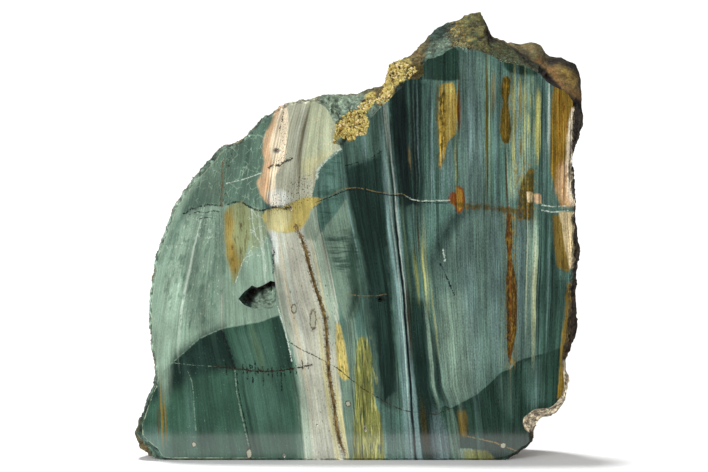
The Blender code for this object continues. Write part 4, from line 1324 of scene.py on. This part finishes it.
def crumb_tree():
    """Geometry nodes that strew small crumbs of many sizes and shades over a surface."""
    tree = bpy.data.node_groups.new("strewn_crumbs", "GeometryNodeTree")
    interface = tree.interface
    interface.new_socket("Surface", in_out="INPUT", socket_type="NodeSocketGeometry")
    for name in ("Crumbs per square metre", "Smallest", "Largest"):
        interface.new_socket(name, in_out="INPUT", socket_type="NodeSocketFloat")
    interface.new_socket("Seed", in_out="INPUT", socket_type="NodeSocketInt")
    interface.new_socket("Finish", in_out="INPUT", socket_type="NodeSocketMaterial")
    interface.new_socket("Crumbs", in_out="OUTPUT", socket_type="NodeSocketGeometry")
    layers = Layers(tree)
    given = layers.put("NodeGroupInput").outputs
    spots = layers.put("GeometryNodeDistributePointsOnFaces", [
        ("Mesh", given["Surface"]), ("Density", given["Crumbs per square metre"]),
        ("Seed", given["Seed"])]).outputs
    shape = layers.put("GeometryNodeMeshIcoSphere", [("Radius", 1.0), ("Subdivisions", 1)])
    turn = layers.put("FunctionNodeRandomValue", [
        ("Min", (0, 0, 0)), ("Max", (FULL_TURN,) * 3), ("Seed", 3)], data_type="FLOAT_VECTOR")
    size = layers.put("FunctionNodeRandomValue", [
        (2, given["Smallest"]), (3, given["Largest"]), ("Seed", 5)], data_type="FLOAT")
    squash = layers.put("FunctionNodeRandomValue", [
        ("Min", CRUMB_SQUASH[0]), ("Max", CRUMB_SQUASH[1]), ("Seed", 8)],
        data_type="FLOAT_VECTOR")
    scale = layers.vector("MULTIPLY", squash.outputs[0], size.outputs[1])
    strewn = layers.put("GeometryNodeInstanceOnPoints", [
        ("Points", spots["Points"]), ("Instance", shape.outputs["Mesh"]),
        ("Rotation", turn.outputs[0]), ("Scale", scale)]).outputs[0]
    shade = layers.put("FunctionNodeRandomValue", [("Seed", 11)], data_type="FLOAT").outputs[1]
    named = layers.put("GeometryNodeStoreNamedAttribute", [
        ("Geometry", strewn), ("Name", "shade"), ("Value", shade)],
        data_type="FLOAT", domain="INSTANCE").outputs[0]
    whole = layers.put("GeometryNodeRealizeInstances", [("Geometry", named)]).outputs[0]
    finished = layers.put("GeometryNodeSetMaterial", [
        ("Geometry", whole), ("Material", given["Finish"])]).outputs[0]
    layers.put("NodeGroupOutput", [("Crumbs", finished)])
    return tree


def strewn_crumbs(bed):
    """The mineral crumbs, as one mesh."""
    maker = placed_object("crumb_maker", bed)
    modifier = maker.modifiers.new("crumbs", "NODES")
    tree = crumb_tree()
    modifier.node_group = tree
    finish = crumb_finish()
    values = {"Crumbs per square metre": CRUMB_DENSITY, "Smallest": CRUMB_RADIUS[0],
              "Largest": CRUMB_RADIUS[1], "Seed": 17, "Finish": finish}
    for item in tree.interface.items_tree:
        if item.in_out == "INPUT" and item.name in values:
            modifier[item.identifier] = values[item.name]
    maker.update_tag()
    view = bpy.context.evaluated_depsgraph_get()
    data = bpy.data.meshes.new_from_object(maker.evaluated_get(view), depsgraph=view)
    bpy.data.objects.remove(maker)
    data.name = "mineral_crumbs"
    data.materials.clear()
    data.materials.append(finish)
    data.polygons.foreach_set("material_index", np.zeros(len(data.polygons), np.int32))
    return placed_object("mineral_crumbs", data)


def crumb_finish():
    """Brown, gold, yellow and cream grains, each of one shade."""
    material, layers, shader = new_material("mineral_crumbs")
    shade = layers.attribute("shade")
    colour = layers.mix(layers.step(shade, 0.08, 0.14), linear("umber"), linear("gold"))
    colour = layers.mix(layers.step(shade, 0.25, 0.35), colour, linear("bright_yellow"))
    colour = layers.mix(layers.step(shade, 0.8, 0.9), colour, linear("shell"))
    layers.tree.links.new(colour, shader.inputs["Base Color"])
    shader.inputs["Roughness"].default_value = 0.7
    return material


# Finishes

class Layers:
    """A node tree, with its nodes added and linked as the layers of a finish are laid on."""

    def __init__(self, tree):
        self.tree = tree

    def put(self, kind, inputs=(), **settings):
        """Adds a node. Its inputs are pairs of a socket's name or number and a value or socket."""
        node = self.tree.nodes.new(kind)
        for name, value in settings.items():
            setattr(node, name, value)
        for socket, value in inputs:
            if isinstance(value, bpy.types.NodeSocket):
                self.tree.links.new(value, node.inputs[socket])
            else:
                node.inputs[socket].default_value = value
        return node

    def math(self, operation, first, second=0.0, third=0.0):
        """Numbers put together by an operation."""
        inputs = [(0, first), (1, second), (2, third)]
        return self.put("ShaderNodeMath", inputs, operation=operation).outputs[0]

    def vector(self, operation, first, second, third=(0, 0, 0)):
        """Vectors or colours put together by an operation."""
        inputs = [(0, first), (1, second), (2, third)]
        return self.put("ShaderNodeVectorMath", inputs, operation=operation).outputs[0]

    def parts(self, vector):
        """The three numbers of a vector."""
        return self.put("ShaderNodeSeparateXYZ", [(0, vector)]).outputs

    def step(self, value, low, high, at_low=0.0, at_high=1.0):
        """A value's share of the way from low to high, as an even curve."""
        inputs = [("Value", value), ("From Min", low), ("From Max", high),
                  ("To Min", at_low), ("To Max", at_high)]
        return self.put("ShaderNodeMapRange", inputs, interpolation_type="SMOOTHSTEP").outputs[0]

    def mix(self, share, below, above):
        """A share of one colour laid over another."""
        inputs = [(0, share), (6, below), (7, above)]
        return self.put("ShaderNodeMix", inputs, data_type="RGBA").outputs[2]

    def attribute(self, name, output="Fac"):
        """What is stored on the mesh under a name."""
        return self.put("ShaderNodeAttribute", attribute_name=name).outputs[output]

    def stretched(self, vector, sizes):
        """Coordinates in which something of these sizes measures 1."""
        return self.vector("MULTIPLY", vector, tuple(1 / size for size in sizes))

    def noise(self, vector, kind):
        """Soft noise about 0.5, with lumps of the sizes of its kind in millimetres."""
        shifted = self.vector("ADD", self.stretched(vector, kind.sizes), (kind.seed,) * 3)
        inputs = [("Vector", shifted), ("Scale", 1.0), ("Detail", kind.detail),
                  ("Roughness", kind.roughness)]
        return self.put("ShaderNodeTexNoise", inputs).outputs["Fac"]

    def centred(self, vector, kind):
        """The same noise about 0."""
        return self.math("SUBTRACT", self.noise(vector, kind), 0.5)

    def mottle(self, colour, mottle, grain):
        """Lays one mottle's colour on where its noise is high, inside its outline."""
        spots = self.noise(grain, Noise(mottle.sizes, 3, 0.6, len(mottle.name)))
        inside = self.step(self.attribute(mottle.name), -1.5, 2.5, 0, mottle.strength)
        share = self.math("MULTIPLY", self.step(spots, mottle.low, mottle.high), inside)
        return self.mix(share, colour, linear(mottle.colour))

    def net(self, colour, net, grain, raggedness):
        """Lays a net of thin veins on, inside its outline."""
        bent = self.vector("MULTIPLY_ADD", raggedness, (2.0, 2.0, 2.0), grain)
        inputs = [("Vector", bent), ("Scale", 1 / net.size)]
        node = self.put("ShaderNodeTexVoronoi", inputs, feature="DISTANCE_TO_EDGE")
        cells = node.outputs["Distance"]
        wide = net.width / net.size / 2
        vein = self.step(cells, wide, 0.3 * wide, 0, net.strength)
        broken = self.step(self.noise(grain, Noise((4, 4, 4), 2, 0.6, net.size)), 0.45, 0.58)
        inside = self.step(self.attribute(net.name), -1.0, 2.0)
        share = self.math("MULTIPLY", vein, self.math("MULTIPLY", broken, inside))
        return self.mix(share, colour, linear(net.colour))

    def zone(self, colour, zone, raggedness):
        """Lays one zone's colour on, with an edge as soft and ragged as the zone says."""
        shift = self.math("MULTIPLY", raggedness, 2 * zone.ragged)
        inside = self.math("ADD", self.attribute(zone.name), shift)
        share = self.step(inside, -zone.soft, zone.soft, 0, zone.strength)
        return self.mix(share, colour, linear(zone.colour))


def new_material(name):
    """A material, the layers of its node tree and its shader."""
    material = bpy.data.materials.new(name)
    material.use_nodes = True
    return material, Layers(material.node_tree), material.node_tree.nodes["Principled BSDF"]


def reaches(pixels, region, spread):
    """Whether something at these pixels shows in a region, a pair of pixel columns."""
    columns = [pixel[0] for pixel in pixels]
    return min(columns) - spread < region[1] and max(columns) + spread > region[0]


def shown_in(region, fields, spread=12):
    """The fields that show in a region, in their order."""
    return [field for field in fields if reaches(field.outline, region, spread)]


def banding(region):
    """The wood's colours in one region of the stone, as a node group for both of its finishes."""
    group = bpy.data.node_groups.new("banding", "ShaderNodeTree")
    group.interface.new_socket("Colour", in_out="OUTPUT", socket_type="NodeSocketColor")
    group.interface.new_socket("Grain", in_out="OUTPUT", socket_type="NodeSocketFloat")
    layers = Layers(group)
    grain = layers.attribute("grain", "Vector")
    ragged = layers.centred(grain, NOISES["ragged"])
    wander = layers.centred(grain, NOISES["wander"])
    place = layers.vector("MULTIPLY_ADD", wander, (1.2, 6.0, 0), grain)
    place = layers.vector("MULTIPLY_ADD", ragged, (0.5, 4.0, 0), place)

    colour = linear("mid_teal")
    for zone in shown_in(region, ZONES):
        colour = layers.zone(colour, zone, ragged)
    for streak in STREAKS:
        rows = np.linspace(streak.top, streak.bottom, 5)
        middle = across_grain(np.array([on_face(streak.place)]))[0]
        if reaches([(along_grain(middle, row), row) for row in rows], region, 20 + streak.width):
            colour = add_streak(layers, colour, streak, place)
    for mottle in shown_in(region, MOTTLES):
        colour = layers.mottle(colour, mottle, grain)
    for net in shown_in(region, NETS):
        colour = layers.net(colour, net, grain, ragged)

    fine = layers.noise(grain, NOISES["fine_lines"])
    broad = layers.noise(grain, NOISES["broad_lines"])
    clouds = layers.noise(grain, NOISES["clouds"])
    specks = layers.noise(grain, NOISES["specks"])
    lined = layers.step(layers.attribute("quiet"), -1.5, 3.0, 1.0, 0.3)
    side = layers.parts(grain)[0]
    contrast = layers.step(side, -30.0, 45.0, 0.75, 1.6)
    shade = layers.math("ADD", layers.step(fine, 0.25, 0.75, -0.26, 0.26),
                        layers.step(specks, 0.25, 0.75, -0.2, 0.2))
    shade = layers.math("MULTIPLY_ADD", shade, contrast, 1.0)
    shade = layers.math("MULTIPLY", shade, layers.step(clouds, 0.3, 0.7, 0.76, 1.22))
    broad_shade = layers.step(broad, 0.25, 0.75, -0.42, 0.4)
    shade = layers.math("MULTIPLY", shade, layers.math("MULTIPLY_ADD", broad_shade, lined, 1.0))
    colour = layers.vector("MULTIPLY", colour, shade)
    rings = layers.noise(grain, NOISES["rings"])
    dark = layers.math("MULTIPLY", layers.step(rings, 0.42, 0.32, 0, 0.55), lined)
    colour = layers.mix(dark, colour, linear("ink"))
    pale = layers.math("MULTIPLY_ADD", layers.step(rings, 0.6, 0.72, 0, 0.5), lined, 1.0)
    colour = layers.vector("MULTIPLY", colour, pale)

    broken = layers.noise(grain, NOISES["line_gaps"])
    crumbled = layers.math("SUBTRACT", layers.noise(grain, NOISES["line_crumble"]), 0.52)
    for kind, name in LINE_COLOURS.items():
        near = layers.math("MULTIPLY_ADD", crumbled, 4.0, layers.attribute(kind + "_line"))
        share = layers.math("MULTIPLY", layers.step(near, 0.0, 0.5, 0, 0.9),
                            layers.step(broken, 0.38, 0.5, 0.35, 1.0))
        colour = layers.mix(share, colour, linear(name))
    eye = layers.math("MULTIPLY_ADD", crumbled, 1.2, layers.attribute("eyes"))
    colour = layers.mix(layers.step(eye, -0.25, 0.0, 0, 0.8), colour, linear("umber"))
    colour = layers.mix(layers.step(eye, 0.08, 0.3, 0, 0.9), colour, linear("putty"))
    pit = layers.attribute("pits")
    colour = layers.mix(layers.step(pit, 0.2, 0.45, 0, 0.7), colour, linear("lilac_grey"))
    colour = layers.mix(layers.step(pit, 0.5, 0.9, 0, 0.8), colour, linear("umber"))

    out = layers.put("NodeGroupOutput")
    group.links.new(colour, out.inputs["Colour"])
    group.links.new(fine, out.inputs["Grain"])
    return group


def along_grain(across, row):
    """The pixel column, at a pixel row, of the grain line with this place across the grain."""
    columns = np.arange(80, 640, 2.0)
    places = np.array(all_on_face([(column, row) for column in columns]))
    return float(np.interp(across, across_grain(places), columns))


def add_streak(layers, colour, streak, place):
    """Lays on one streak, a long ellipse along the grain."""
    middle = across_grain(np.array([on_face(streak.place)]))[0]
    top, bottom = on_face((0, streak.top))[1], on_face((0, streak.bottom))[1]
    wide = 2 / (streak.width * PHOTO_PIXEL)
    tall = 2 / (top - bottom)
    shift = (-middle * wide, -(top + bottom) / 2 * tall, 0)
    scaled = layers.vector("MULTIPLY_ADD", place, (wide, tall, 0), shift)
    off = layers.put("ShaderNodeVectorMath", [(0, scaled)], operation="LENGTH").outputs["Value"]
    soft = min(0.95, streak.soft / streak.width)
    share = layers.step(off, 1 + soft, max(0.0, 1 - soft), 0, streak.strength)
    return layers.mix(share, colour, linear(streak.colour))


def polished_finish(group):
    """The sawn and polished face and foot, worn pale along the left rim."""
    material, layers, shader = new_material("polished")
    band = layers.put("ShaderNodeGroup", node_tree=group)
    grain = layers.attribute("grain", "Vector")
    broken = layers.noise(grain, NOISES["rim_wear"])
    edge = layers.math("MULTIPLY_ADD", broken, 2.4, layers.attribute("from_rim"))
    side = layers.parts(grain)[0]
    at_left = layers.step(side, -58.0, -70.0, 0, 0.85)
    share = layers.math("MULTIPLY", layers.step(edge, 1.6, 1.1), at_left)
    colour = layers.mix(share, band.outputs["Colour"], linear("olive_pale"))
    layers.tree.links.new(colour, shader.inputs["Base Color"])
    rough = layers.step(band.outputs["Grain"], 0.2, 0.8, 0.05, 0.13)
    layers.tree.links.new(rough, shader.inputs["Roughness"])
    shader.inputs["IOR"].default_value = 1.7
    return material


def raw_finish(group, region):
    """The raw stone: the banding near the face, a weathered rind behind, and the raw fields, with
    painted shade from its relief and chips.
    """
    material, layers, shader = new_material("raw")
    band = layers.put("ShaderNodeGroup", node_tree=group)
    place = layers.put("ShaderNodeTexCoord").outputs["Object"]
    place = layers.stretched(place, (MILLIMETRE,) * 3)
    grain = layers.attribute("grain", "Vector")
    parts = layers.parts(grain)
    ragged = layers.centred(place, NOISES["raw_ragged"])
    depth = layers.math("MULTIPLY_ADD", ragged, 7.0, parts[2])
    rind = rind_colour(layers, place, parts)
    behind = layers.mix(layers.step(depth, 1.5, 6.0, 0, 0.95), band.outputs["Colour"], rind)
    colour = behind
    for zone in shown_in(region, RAW_ZONES, 20):
        colour = layers.zone(colour, zone, ragged)
    for mottle in shown_in(region, RAW_MOTTLES):
        colour = layers.mottle(colour, mottle, place)
    in_front = layers.step(depth, 28.0, 20.0)
    colour = layers.mix(in_front, behind, colour)
    # Painted shade: darker in the hollows of the relief and lighter on its ridges
    relief = layers.attribute("relief")
    shade = layers.step(relief, -0.8, 0.9, 0.35, 1.5)
    rough = layers.noise(place, NOISES["raw_rough"])
    shade = layers.math("MULTIPLY", shade, layers.step(rough, 0.3, 0.7, 0.6, 1.4))
    bent = layers.vector("MULTIPLY_ADD", rough, (3.0, 3.0, 3.0), place)
    chips = layers.put("ShaderNodeTexVoronoi", [("Vector", bent), ("Scale", 0.5)]).outputs
    # Painted shade too: each chip gets a brightness of its own, as if its facet caught the light at
    # its own angle
    chip_facet_shade = layers.parts(chips["Color"])[0]
    shade = layers.math("MULTIPLY", shade, layers.math("MULTIPLY_ADD", chip_facet_shade, 0.7, 0.65))
    # Smooth lumps get less of this painted shade and mottling
    rugged = layers.step(layers.attribute("lumps"), -1.0, 3.0, 1.0, 0.4)
    shade = layers.math("MULTIPLY_ADD", layers.math("SUBTRACT", shade, 1.0), rugged, 1.0)
    colour = layers.vector("MULTIPLY", colour, shade)
    height = layers.math("MULTIPLY_ADD", chips["Distance"], -0.6, rough)
    # Dark specks: a painted shade of small pits in the raw stone
    specks = layers.noise(place, NOISES["raw_specks"])
    colour = layers.mix(layers.step(specks, 0.46, 0.3, 0, 0.6), colour, linear("dark_brown"))
    pale = layers.math("MULTIPLY", layers.step(specks, 0.6, 0.75, 0, 0.5),
                       layers.step(parts[0], 100.0, 80.0))
    colour = layers.mix(pale, colour, linear("chalk"))
    layers.tree.links.new(colour, shader.inputs["Base Color"])
    shader.inputs["Roughness"].default_value = 0.78
    shader.inputs["Specular IOR Level"].default_value = 0.35
    inputs = [("Strength", 1.0), ("Distance", 0.0012), ("Height", height)]
    bump = layers.put("ShaderNodeBump", inputs)
    layers.tree.links.new(bump.outputs[0], shader.inputs["Normal"])
    return material


def rind_colour(layers, place, parts):
    """The weathered rind: grey-brown and tan with green and dark stains, and painted near black at
    the right as the shade of the side that faces away from the light.
    """
    lumps = layers.noise(place, NOISES["rind_lumps"])
    stains = layers.noise(place, NOISES["rind_stains"])
    colour = layers.mix(layers.step(lumps, 0.35, 0.65), linear("grey_brown"), linear("tan"))
    colour = layers.mix(layers.step(stains, 0.5, 0.72, 0, 0.7), colour, linear("shade_green"))
    colour = layers.mix(layers.step(stains, 0.45, 0.28, 0, 0.75), colour, linear("dark_brown"))
    # Painted shade: the right side, which faces away from the light, is darkened to near black
    right_side_shade = layers.step(layers.math("MULTIPLY_ADD", lumps, 30.0, parts[0]), 100.0, 116.0)
    dark = layers.mix(layers.step(stains, 0.4, 0.7), linear("black_brown"), linear("umber"))
    return layers.mix(right_side_shade, colour, dark)


# Stage

def aim(thing, direction):
    """Turns a camera or a lamp to look in a direction."""
    thing.rotation_mode = "QUATERNION"
    thing.rotation_quaternion = direction.to_track_quat("-Z", "Y")


def add_camera():
    """A long lens that sees the face at the photograph's scale."""
    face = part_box(NODE)[0].y
    across = on_face((PHOTO_SIZE[0] / 2, 0))[0]
    width, height = CAMERA_VIEW
    target = Vector((across * MILLIMETRE, face, height))
    tilt = math.radians(CAMERA_ELEVATION)
    away = Vector((0, -math.cos(tilt), math.sin(tilt)))
    data = bpy.data.cameras.new("camera")
    data.sensor_width = CAMERA_SENSOR * 1000
    data.lens = CAMERA_SENSOR * 1000 * CAMERA_DISTANCE / width
    camera = placed_object("camera", data)
    camera.location = target + away * CAMERA_DISTANCE
    aim(camera, -away)
    bpy.context.scene.camera = camera


def add_softbox():
    """A large soft lamp at the left in front of the stone, which it faces."""
    data = bpy.data.lights.new("front_softbox", "AREA")
    data.shape = "RECTANGLE"
    data.size, data.size_y = 0.9, 0.7
    data.energy = SOFTBOX_POWER
    lamp = placed_object("front_softbox", data)
    lamp.location = (-0.6, -1.6, 0.5)
    aim(lamp, Vector((0, 0, 0.11)) - lamp.location)


def add_sun():
    """Soft light from above, a little behind the stone, whose shadow falls in front of the foot."""
    data = bpy.data.lights.new("sky_light", "SUN")
    data.energy = SUN_STRENGTH
    data.angle = math.radians(SUN_WIDTH)
    aim(placed_object("sky_light", data), Vector(SUN_DIRECTION))


def add_world():
    """Even white light, seen as pure white, and dim in reflections as a dark studio is."""
    world = bpy.data.worlds.new("studio")
    world.use_nodes = True
    layers = Layers(world.node_tree)
    background = world.node_tree.nodes["Background"]
    background.inputs["Color"].default_value = (1, 1, 1, 1)
    path = layers.put("ShaderNodeLightPath").outputs
    seen = layers.math("MULTIPLY", path["Is Camera Ray"], EXTRA_SEEN_LIGHT)
    change = REFLECTED_LIGHT - WORLD_LIGHT
    strength = layers.math("MULTIPLY_ADD", path["Is Glossy Ray"], change, WORLD_LIGHT)
    strength = layers.math("ADD", strength, seen)
    world.node_tree.links.new(strength, background.inputs["Strength"])
    bpy.context.scene.world = world


def add_floor():
    """A plain white table that glows a little, with its front edge just before the stone."""
    front, back, side = -0.145, 1.2, 1.2
    data = bpy.data.meshes.new("table")
    corners = [(-side, front, 0), (side, front, 0), (side, back, 0), (-side, back, 0)]
    data.from_pydata(corners, [], [(0, 1, 2, 3)])
    material, _, shader = new_material("white_table")
    shader.inputs["Base Color"].default_value = (0.93, 0.93, 0.93, 1)
    shader.inputs["Specular IOR Level"].default_value = 0
    shader.inputs["Emission Color"].default_value = (1, 1, 1, 1)
    shader.inputs["Emission Strength"].default_value = 0.06
    data.materials.append(material)
    table = placed_object("table", data)


def add_stage():
    """The camera, the light and the table."""
    add_camera()
    add_world()
    add_floor()
    add_softbox()
    add_sun()
    bpy.context.scene.view_settings.view_transform = "Standard"


def main():
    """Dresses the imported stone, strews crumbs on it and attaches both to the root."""
    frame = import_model()
    add_stage()
    noise.seed_set(NOISE_SEED)
    stone, bed = dressed_stone(frame["nodes"][NODE])
    crumbs = strewn_crumbs(bed)
    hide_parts(NODE)
    for piece in (stone, crumbs):
        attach(piece, "root")


main()
